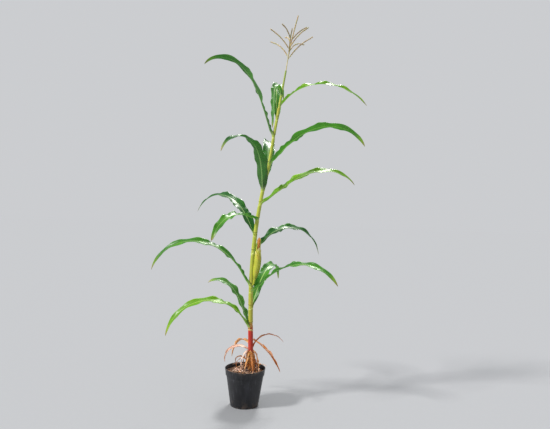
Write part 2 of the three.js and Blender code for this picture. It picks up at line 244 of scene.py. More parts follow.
# %% Tools for nodes
def new_tree(name):
    """A new material and its empty node tree."""
    material = bpy.data.materials.new(name)
    material.use_nodes = True
    material.node_tree.nodes.clear()
    return material, material.node_tree


def add_node(tree, kind, values, **settings):
    """A node with its settings, whose inputs take numbers, colours or other nodes' sockets."""
    made = tree.nodes.new("ShaderNode" + kind)
    for name, value in settings.items():
        setattr(made, name, value)
    for name, value in values.items():
        if isinstance(value, bpy.types.NodeSocket):
            tree.links.new(value, made.inputs[name])
        else:
            made.inputs[name].default_value = value
    return made


def calculate(tree, operation, first, second=0.0):
    """One step of arithmetic."""
    return add_node(tree, "Math", {0: first, 1: second}, operation=operation).outputs[0]


def times(tree, first, second):
    """Two values multiplied."""
    return calculate(tree, "MULTIPLY", first, second)


def own_place(tree):
    """Where a point is on the object, in metres."""
    return add_node(tree, "TexCoord", {}).outputs["Object"]


def height_of(tree, place):
    """The height over the bench of a place, in metres."""
    return add_node(tree, "SeparateXYZ", {0: place}).outputs["Z"]


def map_place(tree, map_name):
    """A point's place on the named UV map, with its two parts: along and across."""
    place = add_node(tree, "UVMap", {}, uv_map=map_name).outputs["UV"]
    parts = add_node(tree, "SeparateXYZ", {0: place})
    return place, parts.outputs["X"], parts.outputs["Y"]


# %% Tools for layers
def fade(tree, value, low, high, start=0.0, end=1.0):
    """start below low, end above high, and a smooth change between them."""
    values = {"Value": value, 1: low, 2: high, 3: start, 4: end}
    made = add_node(tree, "MapRange", values, interpolation_type="SMOOTHSTEP")
    return made.outputs["Result"]


def blend(tree, share, first, second):
    """A colour that goes from the first to the second."""
    first, second = (
        (*colour, 1.0) if isinstance(colour, tuple) else colour for colour in (first, second)
    )
    values = {0: share, 6: first, 7: second}
    return add_node(tree, "Mix", values, data_type="RGBA").outputs[2]


def cloud(tree, place, scale, detail=3.0, stretch=(1.0, 1.0, 1.0)):
    """Smooth noise around 0.5 with the given number of repeats to a metre or a UV width."""
    moved = add_node(tree, "Mapping", {"Vector": place, "Scale": stretch}).outputs[0]
    values = {"Vector": moved, "Scale": scale, "Detail": detail}
    return add_node(tree, "TexNoise", values).outputs["Fac"]


def stripes(tree, across, count):
    """A wave between -1 and 1 with the given number of repeats across."""
    return calculate(tree, "SINE", times(tree, across, TURN * count))


def bumps(tree, height, distance):
    """A normal that follows a height, whose full range is the given distance in metres."""
    values = {"Height": height, "Strength": 1.0, "Distance": distance}
    return add_node(tree, "Bump", values).outputs["Normal"]


def surface(tree, colour, roughness, normal=None, specular=0.5, sheen=0.0):
    """A Principled shader."""
    values = {
        "Base Color": colour, "Roughness": roughness,
        "Specular IOR Level": specular, "Sheen Weight": sheen,
    }
    if normal is not None:
        values["Normal"] = normal
    return add_node(tree, "BsdfPrincipled", values).outputs[0]


def finish_tree(tree, shader):
    """Sends a shader to the material's output."""
    add_node(tree, "OutputMaterial", {"Surface": shader})


def mottled(name, dark, light, scale, detail, roughness, depth=None, sheen=0.0):
    """A dull finish of dark and light patches, raised by a depth in metres where one is given."""
    material, tree = new_tree(name)
    patches = cloud(tree, own_place(tree), scale, detail)
    colour = blend(tree, fade(tree, patches, 0.35, 0.65), dark, light)
    normal = None if depth is None else bumps(tree, patches, depth)
    finish_tree(tree, surface(tree, colour, roughness, normal, sheen=sheen))
    return material


# %% [markdown]
# ## Camera
#
# Two families of parallel edges in the photograph meet at vanishing points, which give the
# camera: 3.2 metres in front of the plant and 1.2 metres above its bench, tipped a little. The
# photograph cuts off the tassel, so this camera stands at the same point with a wider lens, and
# is aimed a little higher to hold the whole plant.

# %% Camera
PHOTO_WIDTH = 550
CAMERA_PLACE = (0.1565, -3.205, 1.1974)
CAMERA_PITCH = math.radians(-0.35)
CAMERA_ROLL = math.radians(1.65)
FOCAL_PIXELS = 520
SENSOR_WIDTH = 36

lens = bpy.data.cameras.new("camera")
lens.sensor_width = SENSOR_WIDTH
lens.lens = SENSOR_WIDTH * FOCAL_PIXELS / PHOTO_WIDTH
camera = add_object("camera", lens)
looking = Euler((math.pi / 2 + CAMERA_PITCH, 0, 0)).to_matrix() @ Matrix.Rotation(CAMERA_ROLL, 3, "Z")
camera.matrix_world = Matrix.LocRotScale(Vector(CAMERA_PLACE), looking, None)
bpy.context.scene.camera = camera
print("lens:", round(lens.lens, 1), "mm")

# %% [markdown]
# ## Stage
#
# A pale floor under an even pale sky, with a soft key light from the left and above, where the sun
# stands in the photograph. A second light, high up behind the plant, shines through the thin blades
# and puts on their arches the white gleam that the photograph shows. The share of light that the
# floor gives back is worked out from the sky and the lamps, so that it is as bright as the sky and
# no horizon cuts through the plant.

# %% Stage
FLOOR_METRES = 80
FLOOR_GRAIN = 40.0
SKY = (0.60, 0.61, 0.63)


class Lamp(NamedTuple):
    """A far lamp: its direction, strength, width in the sky in degrees, and colour."""
    name: str
    towards: tuple
    strength: float
    softness: float
    colour: tuple


LAMPS = (
    Lamp("key_lamp", (-0.75, -0.35, 0.75), 4.0, 8, (1.0, 0.98, 0.94)),
    Lamp("back_lamp", (0.15, 0.75, 0.95), 3.5, 14, (1.0, 0.99, 0.95)),
)


def floor_tint():
    """The share of each colour that the floor gives back."""
    tint = []
    for channel, sky in enumerate(SKY):
        fallen = sum(
            lamp.strength * lamp.colour[channel] * Vector(lamp.towards).normalized().z / math.pi
            for lamp in LAMPS
        )
        tint.append(sky / (sky + fallen))
    return tuple(tint)


def make_floor():
    """A large pale floor under the pot."""
    bm = bmesh.new()
    bmesh.ops.create_grid(bm, x_segments=1, y_segments=1, size=FLOOR_METRES / 2)
    mesh = mesh_from(bm, "floor")
    material, tree = new_tree("floor_paint")
    grain = cloud(tree, own_place(tree), FLOOR_GRAIN)
    light = floor_tint()
    tint = blend(tree, fade(tree, grain, 0.3, 0.7), light, tuple(part * 0.99 for part in light))
    finish_tree(tree, surface(tree, tint, 0.9, specular=0.0))
    mesh.materials.append(material)
    floor = add_object("floor", mesh)


def add_lamp(lamp):
    """A sun light that shines from the lamp's direction."""
    light = bpy.data.lights.new(lamp.name, "SUN")
    light.energy = lamp.strength
    light.angle = math.radians(lamp.softness)
    light.color = lamp.colour
    holder = add_object(lamp.name, light)
    holder.rotation_euler = Vector(lamp.towards).to_track_quat("Z", "Y").to_euler()


make_floor()
for lamp_on_stage in LAMPS:
    add_lamp(lamp_on_stage)

world = bpy.data.worlds.new("studio")
world.use_nodes = True
world.node_tree.nodes["Background"].inputs["Color"].default_value = (*SKY, 1.0)
bpy.context.scene.world = world
bpy.context.scene.view_settings.view_transform = "Standard"
print("lamps:", len(bpy.data.lights))

# %% [markdown]
# ## Pot
#
# The pot is thin black plastic, moulded in one piece: a tapered wall, a band that stands proud
# round the mouth so that pots don't jam when they are stacked, a rolled lip and a flat foot with
# drain holes. A turned shape is one profile swept round an axis, so it is spun. Its sharp rings
# are then bevelled, since a moulded edge is never quite sharp and its highlight shows the form.

# %% Pot profile
POT_HEIGHT = 228
POT_FOOT_RADIUS = 86
POT_SHOULDER_HEIGHT = 188
POT_SHOULDER_RADIUS = 115
POT_BAND_RADIUS = 120
POT_MOUTH_RADIUS = 125
POT_WALL = 3.2
LIP_HEIGHT = 7
LIP_DEPTH = 1.6
RIB_HEIGHTS = (176, 182)
RIB_HALF_HEIGHT = 1
RIB_DEPTH = 0.7


def wall_radius(height):
    """The outer radius of the pot's tapered wall."""
    return mix(POT_FOOT_RADIUS, POT_SHOULDER_RADIUS, height / POT_SHOULDER_HEIGHT)


def band_radius(height):
    """The outer radius of the band round the pot's mouth."""
    share = (height - POT_SHOULDER_HEIGHT) / (POT_HEIGHT - POT_SHOULDER_HEIGHT)
    return mix(POT_BAND_RADIUS, POT_MOUTH_RADIUS, share)


def pot_profile():
    """Radius and height of each corner of the pot's section, from its underside to its inside."""
    lip = POT_HEIGHT - LIP_HEIGHT
    step = POT_SHOULDER_HEIGHT + POT_WALL
    outside = [(0, 0), (POT_FOOT_RADIUS, 0)]
    for height in RIB_HEIGHTS:
        outside += [
            (wall_radius(height - RIB_HALF_HEIGHT), height - RIB_HALF_HEIGHT),
            (wall_radius(height) + RIB_DEPTH, height),
            (wall_radius(height + RIB_HALF_HEIGHT), height + RIB_HALF_HEIGHT),
        ]
    outside += [
        (POT_SHOULDER_RADIUS, POT_SHOULDER_HEIGHT),
        (POT_BAND_RADIUS - LIP_DEPTH / 2, POT_SHOULDER_HEIGHT),
        (band_radius(lip) - LIP_DEPTH, lip),
        (band_radius(lip), lip),
        (POT_MOUTH_RADIUS, POT_HEIGHT),
    ]
    inside = [
        (POT_MOUTH_RADIUS - POT_WALL, POT_HEIGHT),
        (band_radius(step) - POT_WALL, step),
        (wall_radius(step) - POT_WALL, step),
        (wall_radius(POT_WALL) - POT_WALL, POT_WALL),
        (0, POT_WALL),
    ]
    return outside + inside


print("pot profile:", len(pot_profile()), "corners")

# %% Pot shell
POT_STEPS = 96
POT_EDGE_ROUND = 0.9
SHARP_ANGLE = math.radians(25)
DRAIN_HOLES = 6
DRAIN_RADIUS = 6
DRAIN_CIRCLE = 58
DRAIN_SIDES = 32


def spin_profile(profile, steps):
    """A bmesh spun round the pot's axis from a profile of radii and heights."""
    bm = bmesh.new()
    corners = [bm.verts.new((radius, 0, height)) for radius, height in profile]
    section = [bm.edges.new(pair) for pair in zip(corners, corners[1:])]
    bmesh.ops.spin(
        bm, geom=corners + section, cent=(0, 0, 0), axis=(0, 0, 1), dvec=(0, 0, 0),
        angle=TURN, steps=steps, use_merge=True, use_duplicate=False,
    )
    bmesh.ops.remove_doubles(bm, verts=bm.verts, dist=SEAM)
    return bm


def make_pot(material):
    """The pot's shell, spun, bevelled and drilled."""
    bm = spin_profile(pot_profile(), POT_STEPS)
    bmesh.ops.dissolve_degenerate(bm, edges=bm.edges, dist=SEAM)
    bmesh.ops.recalc_face_normals(bm, faces=bm.faces)
    sharp = [edge for edge in bm.edges if edge.calc_face_angle(0) > SHARP_ANGLE]
    bmesh.ops.bevel(
        bm, geom=sharp, offset=POT_EDGE_ROUND, segments=3, profile=0.5,
        affect="EDGES", clamp_overlap=True, material=-1,
    )
    pot = finish_piece(bm, "pot_shell", [material], ["pot"])
    drill_drains(pot)


def drill_drains(pot):
    """Cuts the ring of drain holes through the pot's floor."""
    bm = bmesh.new()
    for i in range(DRAIN_HOLES):
        place = heading_vector(TURN * i / DRAIN_HOLES) * DRAIN_CIRCLE
        bmesh.ops.create_cone(
            bm, cap_ends=True, segments=DRAIN_SIDES, radius1=DRAIN_RADIUS,
            radius2=DRAIN_RADIUS, depth=POT_WALL * 4, matrix=Matrix.Translation(place),
        )
    bmesh.ops.scale(bm, vec=(MM, MM, MM), verts=bm.verts)
    drill = add_object("drill", mesh_from(bm, "drill"))
    cut = pot.modifiers.new("drains", "BOOLEAN")
    cut.operation = "DIFFERENCE"
    cut.object = drill
    bpy.context.view_layer.update()
    evaluated = pot.evaluated_get(bpy.context.evaluated_depsgraph_get())
    drilled = bpy.data.meshes.new_from_object(evaluated)
    pot.modifiers.remove(cut)
    pot.data = drilled
    bpy.data.objects.remove(drill)
    print("pot_shell with drains:", len(drilled.polygons), "faces")


# %% [markdown]
# Black nursery plastic is dull rather than glossy. Handling leaves it with pale rubs and scratches,
# water leaves pale runs down its side, and rain leaves soil dust near its foot and on its lip. Each
# is one layer of noise over the base colour.

# %% Pot plastic
def pot_plastic():
    """Scuffed black plastic with dust on its foot and lip."""
    material, tree = new_tree("pot_plastic")
    place = own_place(tree)
    height = height_of(tree, place)
    worn = cloud(tree, place, 26.0, 6.0, (1.0, 1.0, 0.25))
    colour = blend(tree, fade(tree, worn, 0.45, 0.75), (0.010, 0.0105, 0.013), (0.026, 0.027, 0.033))
    runs = fade(tree, cloud(tree, place, 110.0, 5.0, (1.0, 1.0, 0.07)), 0.56, 0.74, 0.0, 0.45)
    colour = blend(tree, runs, colour, (0.062, 0.064, 0.074))
    scratches = fade(tree, cloud(tree, place, 60.0, 2.0, (0.7, 0.7, 14.0)), 0.66, 0.70, 0.0, 0.30)
    colour = blend(tree, scratches, colour, (0.11, 0.11, 0.12))
    foot = fade(tree, height, 0.0, 0.075, 1.0, 0.0)
    lip = fade(tree, height, 0.205, 0.226)
    settled = calculate(tree, "MAXIMUM", foot, times(tree, lip, 0.7))
    dusty = fade(tree, cloud(tree, place, 38.0, 7.0), 0.42, 0.66)
    dust = times(tree, dusty, settled)
    colour = blend(tree, times(tree, dust, 0.45), colour, (0.14, 0.10, 0.075))
    roughness = fade(tree, worn, 0.3, 0.8, 0.42, 0.60)
    grain = cloud(tree, place, 700.0, 2.0)
    shader = surface(tree, colour, roughness, bumps(tree, grain, 0.00012), 0.4)
    finish_tree(tree, shader)
    return material


make_pot(pot_plastic())

# %% [markdown]
# ## Soil
#
# Potting mix is a lumpy bed of fine peat with loose crumbs, chips of bark and white grains of
# perlite lying on it. The bed is spun from a profile with many rings and its top is pushed up and
# down by noise. The loose bits are small rough balls, joined into one piece for each kind, because
# thousands of separate objects would be slow and the kinds differ in colour.

# %% Soil bed
SOIL_TOP = 210
SOIL_EDGE = 204
SOIL_FLAT_RADIUS = 66
SOIL_GAP = 0.3
SOIL_RINGS = 46
SOIL_STEPS = 150
SOIL_LUMP = 3.2
SOIL_GRAIN = 1.1


def soil_reach(height):
    """The radius to which the soil fills the pot at a height."""
    return band_radius(height) - POT_WALL - SOIL_GAP


SOIL_RADIUS = soil_reach(SOIL_EDGE)


def soil_height(x, y):
    """The height of the soil bed's top, lumps and all."""
    radius = math.hypot(x, y)
    slope = ease(radius, SOIL_FLAT_RADIUS, SOIL_RADIUS)
    lumps = SOIL_LUMP * wander(x / 24, y / 24, 0, 1) + SOIL_GRAIN * wander(x / 5, y / 5, 0, 2)
    return mix(SOIL_TOP, SOIL_EDGE, slope) + lumps


def make_soil(material):
    """The soil bed, spun from its profile, with a lumpy top."""
    step = POT_SHOULDER_HEIGHT + POT_WALL + SOIL_GAP
    below = POT_WALL + SOIL_GAP
    profile = [
        (0, below),
        (wall_radius(below) - POT_WALL - SOIL_GAP, below),
        (wall_radius(step) - POT_WALL - SOIL_GAP, step),
        (soil_reach(step), step),
    ]
    profile += [(SOIL_RADIUS * (1 - i / SOIL_RINGS), SOIL_EDGE) for i in range(SOIL_RINGS + 1)]
    bm = spin_profile(profile, SOIL_STEPS)
    bmesh.ops.recalc_face_normals(bm, faces=bm.faces)
    for vertex in bm.verts:
        if vertex.co.z > SOIL_EDGE - 1:
            vertex.co.z = soil_height(vertex.co.x, vertex.co.y)
    finish_piece(bm, "soil_bed", [material], ["soil"])


def peat():
    """Brown peat, darker in its hollows: partly its own dark grains, partly painted shade."""
    material, tree = new_tree("peat")
    place = own_place(tree)
    fine = cloud(tree, place, 260.0, 8.0)
    slow = cloud(tree, place, 40.0, 4.0)
    # The colour follows the bump's noise, so the hollows are darker: partly dark grains of peat, partly
    # painted shade.
    colour = blend(tree, fade(tree, fine, 0.35, 0.7), (0.035, 0.019, 0.013), (0.17, 0.100, 0.070))
    colour = blend(tree, fade(tree, slow, 0.45, 0.7, 0.0, 0.4), colour, (0.30, 0.19, 0.14))
    finish_tree(tree, surface(tree, colour, 0.95, bumps(tree, fine, 0.002), 0.2))
    return material


make_soil(peat())

# %% [markdown]
# The loose bits are of four kinds. Crumbs of the mix are near-black, and some have dried to a dusty
# pink. Bark is flat and splintery, and perlite is small, round and white. A ball of twelve corners
# is enough for each, since its corners are pushed in and out at random. Flat shading keeps them
# sharp, as broken crumbs are.

# %% Loose bits on the soil
STALK_FOOT = (35.0, 0.0)
CLEAR_OF_STALK = 19
BIT_CORNERS = 12
BIT_TILT = 0.6
BIT_STANDS_OUT = 0.35
BIT_LEAST_CORNER = 0.62
BIT_MOST_CORNER = 1.22


class Bits(NamedTuple):
    """One kind of loose bit: how many, how large in millimetres, how flat, and its colour."""
    name: str
    count: int
    least: float
    most: float
    flatness: tuple
    colour: tuple
    seed: int


KINDS_OF_BITS = (
    Bits("soil_crumbs", 3000, 0.8, 3.4, (1.0, 0.8, 0.65), (0.120, 0.066, 0.044), 11),
    Bits("pink_crumbs", 1500, 0.8, 3.0, (1.0, 0.75, 0.6), (0.44, 0.25, 0.19), 12),
    Bits("bark_chips", 700, 1.6, 7.0, (1.0, 0.42, 0.22), (0.30, 0.155, 0.080), 13),
    Bits("perlite", 200, 0.6, 1.7, (1.0, 0.9, 0.85), (0.72, 0.68, 0.62), 14),
)


def bit_material(bits):
    """A rough matt finish, darker and paler than the bits' own colour by turns."""
    material, tree = new_tree(bits.name)
    place = own_place(tree)
    grain = cloud(tree, place, 600.0, 4.0)
    shade = cloud(tree, place, 140.0, 1.0)
    dark, pale = (tuple(part * k for part in bits.colour) for k in (0.45, 1.35))
    colour = blend(tree, fade(tree, shade, 0.38, 0.62), dark, pale)
    colour = blend(tree, fade(tree, grain, 0.3, 0.7, 0.0, 0.5), dark, colour)
    finish_tree(tree, surface(tree, colour, 0.9, bumps(tree, grain, 0.0006), 0.25))
    return material


def scatter(bits):
    """Rough little lumps, half sunk in the soil bed."""
    draw = random.Random(bits.seed)
    bm = bmesh.new()
    while len(bm.verts) < bits.count * BIT_CORNERS:
        radius = (SOIL_RADIUS - bits.most) * math.sqrt(draw.random())
        angle = draw.uniform(0, TURN)
        x, y = radius * math.cos(angle), radius * math.sin(angle)
        size = mix(bits.least, bits.most, draw.random() ** 2)
        tilts = [draw.uniform(-BIT_TILT, BIT_TILT) for _ in range(2)]
        turned = Euler([*tilts, draw.uniform(0, TURN)])
        if math.hypot(x - STALK_FOOT[0], y - STALK_FOOT[1]) < CLEAR_OF_STALK + size:
            continue
        place = Vector((x, y, soil_height(x, y) + size * bits.flatness[2] * BIT_STANDS_OUT))
        matrix = Matrix.LocRotScale(place, turned, Vector(bits.flatness) * size)
        lump = bmesh.ops.create_icosphere(bm, subdivisions=1, radius=1, matrix=matrix)
        for vertex in lump["verts"]:
            pushed = draw.uniform(BIT_LEAST_CORNER, BIT_MOST_CORNER)
            vertex.co = place + (vertex.co - place) * pushed
    finish_piece(bm, bits.name, [bit_material(bits)], smooth=False)


for kind_of_bits in KINDS_OF_BITS:
    scatter(kind_of_bits)

# %% [markdown]
# ## Stalk
#
# What looks like the stalk of a maize plant is mostly leaf: from each node a sheath wraps the culm
# up to the next collar, where the blade turns out. The culm itself shows only for a finger's width
# between a collar and the node above it. So the culm is one tapering tube with swollen nodes, and
# each sheath is a sheet wrapped round it with one edge lying over the other.

# %% The stalk's line
# Height over the bench and sideways offset of the stalk's middle line.
STALK_STATIONS = (
    (210, 35), (480, 25), (730, 21), (940, 28), (1140, 48), (1330, 78),
    (1480, 110), (1650, 134), (1835, 163), (2060, 198),
)
STALK_BOTTOM = 210.3
STALK_TOP = 2060
STALK_DEPTH_SWAY = 12
STALK_SWAY_TURNS = 0.75
STALK_FOOT_RADIUS = 17.5
STALK_LOW_RADIUS = 14
STALK_TOP_RADIUS = 5.4
STALK_FLARE_HEIGHT = 60
STALK_TAPER_POWER = 1.5
NODE_RISE = 17


def station_place(height, offset):
    """A point of the stalk's middle line, which sways towards the viewer and back."""
    share = (height - STALK_BOTTOM) / (STALK_TOP - STALK_BOTTOM)
    sway = STALK_DEPTH_SWAY * math.sin(share * STALK_SWAY_TURNS * TURN)
    return offset, sway, height


STALK_LINE = smooth_curve([station_place(*station) for station in STALK_STATIONS], 400)


def stalk_centre(height):
    """The middle of the stalk at a height, or at each of several."""
    x, y = (np.interp(height, STALK_LINE[:, 2], STALK_LINE[:, axis]) for axis in (0, 1))
    return np.stack([x, y, np.asarray(height, float)], axis=-1)


def stalk_radius(height):
    """The bare radius of the stalk at a height, with the flare at its foot."""
    share = np.clip((height - STALK_BOTTOM) / (STALK_TOP - STALK_BOTTOM), 0, 1)
    taper = mix(STALK_LOW_RADIUS, STALK_TOP_RADIUS, share ** STALK_TAPER_POWER)
    flare = np.exp(-(height - STALK_BOTTOM) / STALK_FLARE_HEIGHT)
    return taper + (STALK_FOOT_RADIUS - STALK_LOW_RADIUS) * flare


def round_stalk(height, angle, radius):
    """Points at a height, and at an angle and a radius round the stalk's middle line."""
    outward = np.stack([np.cos(angle), np.sin(angle), np.zeros_like(angle)], axis=-1)
    return stalk_centre(height) + outward * radius[:, None]


print("stalk:", round(STALK_TOP - STALK_BOTTOM), "mm tall")

# %% [markdown]
# Sixteen green leaves stand on the stalk, more or less in two ranks, and each has its own height,
# heading, length and bend. A record with named sizes describes one. The sheaths and the blades are
# made from these records, and further down the dead leaves, straps and ribbons from more of them.

# %% The leaves' sizes
class Blade(NamedTuple):
    """The sizes that shape one blade.

    height is its collar's; heading is 0 along +X and 90 away from the viewer; rise and fall are
    its slopes in degrees at the foot and at the tip. Where hold is over 1 it bends late, and by
    the share settle of its length it has reached its fall. turn is how far its heading changes
    along it, and twist how far it rolls about its own length. fold is half the angle of its
    gutter, to which a dead leaf adds roll at its tip, and ragged is how unevenly it is torn.
    """
    height: float
    heading: float
    length: float
    half_width: float
    slopes: tuple
    hold: float
    turn: float
    twist: float
    tone: str = "fresh"
    settle: float = 1.0
    fold: float = 0.42
    wave: float = 7.0
    wave_count: float = 5.0
    roll: float = 0.0
    ragged: float = 0.0
    foot: tuple = None


# Each leaf's tone is partly its own green and partly painted light: the yellow-green and pale tones stand
# for leaves in the sun, the deep tone for leaves in shade.
LEAVES = (
    Blade(468, 187, 680, 33, (71, -80), 0.98, 6, -44, "sunlit_lime"),
    Blade(492, 164, 420, 32, (70, -44), 2.9, 14, -40, "pale"),
    Blade(598, 62, 690, 34, (62, -62), 1.4, 20, 35, "fresh"),
    Blade(694, -14, 640, 33, (50, -58), 1.5, -16, 36, "fresh"),
    Blade(730, 184, 805, 35, (65, -75), 1.37, -6, -46, "fresh"),
    Blade(940, 24, 620, 37, (60, -78), 1.15, 12, 48, "shaded_deep"),
    Blade(1046, 132, 700, 40, (60, -60), 1.5, 10, -34, "shaded_deep"),
    Blade(1139, 226, 440, 35, (24, -70), 1.2, 10, -30, "fresh"),
    Blade(1236, 20, 700, 40, (40, -56), 2.4, -14, 40, "sunlit_lime"),
    Blade(1322, 262, 600, 42, (80, -76), 1.8, -54, -16, "shaded_deep"),
    Blade(1402, 84, 720, 40, (60, -58), 1.6, 16, 28, "shaded_deep"),
    Blade(1484, -18, 695, 39, (51, -64), 1.76, 14, -38, "fresh"),
    Blade(1652, 172, 740, 36, (72, -56), 3.3, 10, 40, "shaded_deep"),
    Blade(1765, 98, 620, 35, (66, -50), 1.7, -24, 30, "fresh"),
    Blade(1838, 4, 640, 33, (66, -46), 0.8, 10, 46, "sunlit_lime"),
    Blade(1906, 246, 360, 20, (72, -87), 1.1, 4, 24, "pale", 0.4),
)
print("leaves:", len(LEAVES))

# %% [markdown]
# The culm is one closed tube with a ring every few millimetres, so that each node can swell and
# pinch within a short stretch. Nodes crowd together at its foot, and above lies one over each
# collar. Stout brace roots grow out of the lowest nodes and prop the plant. Each is a rod along a
# bent line from the culm to the soil.

# %% Culm
CULM_ROWS = 520
CULM_COLUMNS = 28
NODE_SWELL = 1.1
NODE_HALF_HEIGHT = 3.4
LOW_NODES = (226, 243, 264, 290, 322)


def node_heights():
    """The heights of the culm's nodes: close together at its foot, then one over each collar."""
    return [*LOW_NODES, *(leaf.height + NODE_RISE for leaf in LEAVES)]


def culm_place(along, turn):
    """The culm's skin: round, with a swelling and a fine groove above it at each node."""
    height = mix(STALK_BOTTOM, STALK_TOP, along)
    radius = stalk_radius(height)
    for node in node_heights():
        away = (height - node) / NODE_HALF_HEIGHT
        radius = radius + NODE_SWELL * np.exp(-away ** 2) - NODE_SWELL / 2 * np.exp(-(away - 2) ** 2)
    return round_stalk(height, turn, radius)


# %% Brace roots
BRACE_ROOTS = 9
BRACE_FOOT_RADIUS = 34
BRACE_TOP = 234
BRACE_RADIUS = 2.6
BRACE_END_SHARE = 0.7
BRACE_SIDES = 8
BRACE_STEPS = 9
BRACE_ROOTED = 2
BRACE_SUNK = 3
BRACE_KNEE_OUT = 4
BRACE_KNEE_UP = 5.0


def add_brace_roots(bm):
    """Short stout roots that prop the foot of the stalk."""
    draw = random.Random(21)
    for i in range(BRACE_ROOTS):
        angle = TURN * (i + draw.uniform(-0.25, 0.25)) / BRACE_ROOTS
        top = BRACE_TOP - draw.uniform(0, 10)
        out = heading_vector(angle)
        reach = BRACE_FOOT_RADIUS + draw.uniform(-5, 4)
        start = stalk_centre(top) + out * (stalk_radius(top) - BRACE_ROOTED)
        foot = stalk_centre(STALK_BOTTOM) + out * reach
        foot[2] = soil_height(foot[0], foot[1]) - BRACE_SUNK
        knee = (start + foot) / 2 + out * BRACE_KNEE_OUT + np.array((0, 0, BRACE_KNEE_UP))
        line = evenly(smooth_curve([start, knee, foot], 20), BRACE_STEPS)
        radii = np.linspace(BRACE_RADIUS, BRACE_RADIUS * BRACE_END_SHARE, BRACE_STEPS + 1)
        add_rod(bm, line, radii, BRACE_SIDES)


# %% [markdown]
# The stalk's colour has a place: tan and brown at the soil, wine red below the first green leaves,
# then green that turns more yellow with height. One ramp over height carries that, and fine
# streaks, a faint ruddy blush and fine ribs lie over it. The same finish serves culm and sheaths,
# but a sheath is darker at its foot and paler at its collar.

# %% Stalk finish
# Height over the bench in metres, and the tint there.
STALK_TINTS = (
    (0.20, (0.16, 0.065, 0.030)),
    (0.29, (0.34, 0.090, 0.032)),
    (0.335, (0.43, 0.016, 0.007)),
    (0.455, (0.50, 0.013, 0.007)),
    (0.480, (0.48, 0.15, 0.025)),
    (0.52, (0.44, 0.43, 0.045)),
    (1.00, (0.42, 0.49, 0.050)),
    (1.50, (0.52, 0.56, 0.070)),
    (1.85, (0.50, 0.55, 0.080)),
    (2.06, (0.28, 0.39, 0.060)),
)
RAMP_TOP = 2.4
COLLAR_TINT = (0.62, 0.70, 0.26)
STALK_RIBS = 42
STALK_RIB_DEPTH = 0.00008


def tint_at(tree, height, stops):
    """The tint at a height, between those of the stops below and above it."""
    made = add_node(tree, "ValToRGB", {"Fac": calculate(tree, "DIVIDE", height, RAMP_TOP)})
    elements = made.color_ramp.elements
    while len(elements) < len(stops):
        elements.new(1.0)
    for element, (level, tint) in zip(elements, stops):
        element.position = level / RAMP_TOP
        element.color = (*tint, 1.0)
    return made.outputs["Color"]


def stalk_finish(name, ends):
    """Green skin with streaks. With ends, a sheath's foot is darker and its collar paler."""
    material, tree = new_tree(name)
    place = own_place(tree)
    height = height_of(tree, place)
    uneven = times(tree, cloud(tree, place, 30.0, 3.0), 0.03)
    shifted = calculate(tree, "SUBTRACT", calculate(tree, "ADD", height, uneven), 0.015)
    colour = tint_at(tree, shifted, STALK_TINTS)
    map_at, along, across = map_place(tree, "skin")
    streaks = cloud(tree, map_at, 1.0, 4.0, (2.0, 46.0, 1.0))
    light = blend(tree, 0.05, colour, (0.90, 0.85, 0.60))
    dark = blend(tree, 0.22, colour, (0.03, 0.025, 0.01))
    colour = blend(tree, fade(tree, streaks, 0.35, 0.65), dark, light)
    blush = fade(tree, cloud(tree, place, 11.0, 3.0, (1.0, 1.0, 0.5)), 0.52, 0.70, 0.0, 0.30)
    colour = blend(tree, blush, colour, (0.56, 0.24, 0.035))
    if ends:
        collar = fade(tree, along, 0.90, 1.0)
        colour = blend(tree, times(tree, collar, 0.6), colour, COLLAR_TINT)
        foot = fade(tree, along, 0.0, 0.07, 0.45, 0.0)
        colour = blend(tree, foot, colour, (0.12, 0.13, 0.02))
    ribs = stripes(tree, across, STALK_RIBS)
    gloss = fade(tree, streaks, 0.3, 0.7, 0.32, 0.48)
    finish_tree(tree, surface(tree, colour, gloss, bumps(tree, ribs, STALK_RIB_DEPTH), 0.28))
    return material


def make_culm():
    """The culm, and the brace roots at its foot."""
    bm = new_mesh()
    add_tube(bm, CULM_ROWS, CULM_COLUMNS, culm_place)
    finish_piece(bm, "stalk_culm", [stalk_finish("culm_skin", False)], ["stalk"])
    bm = new_mesh()
    add_brace_roots(bm)
    skin = mottled("root_skin", (0.055, 0.022, 0.018), (0.21, 0.095, 0.065), 160.0, 5.0, 0.7, 0.0008)
    finish_piece(bm, "brace_roots", [skin])


make_culm()

# %% [markdown]
# A sheath wraps the culm once and laps over itself a little. It bulges at its foot, over the node
# that it grows from, and loosens towards its collar, whose rim stands higher in front, where the
# blade leaves it. Where the next leaf below is close, its sheath hides this one's foot. Inside each
# collar a papery rim, the ligule, stands up against the culm and keeps the rain out.

# %% Sheaths
SHEATH_LAP = 0.35
SHEATH_ROWS = 40
SHEATH_COLUMNS = 44
SHEATH_WALL = 0.6
SHEATH_OUTSIDE = 0.9
SHEATH_LOOSENESS = 0.5
SHEATH_STEP = 0.5
SHEATH_FRONT = -1
SHEATH_BACK = -9
SHEATH_DIP_FROM = 1.6
PULVINUS = 0.9
PULVINUS_HEIGHT = 7
SHEATH_TUCK = 60
TUCKED_IN = 0.5


def sheath_foot(index):
    """The height at which a leaf's sheath shows first, and whether the one below hides its foot."""
    if index == 0:
        return LOW_NODES[-1], False
    below = LEAVES[index - 1].height
    tucked = LEAVES[index].height - below < SHEATH_TUCK
    return (below - SHEATH_TUCK / 2 if tucked else below + NODE_RISE), tucked


def sheath_radius(height, along, turn):
    """The outer radius of a sheath, which loosens upwards and whose one edge laps the other."""
    lapped = 0.5 + turn / (TURN + SHEATH_LAP)
    return stalk_radius(height) + SHEATH_OUTSIDE + SHEATH_LOOSENESS * along ** 2 + SHEATH_STEP * lapped


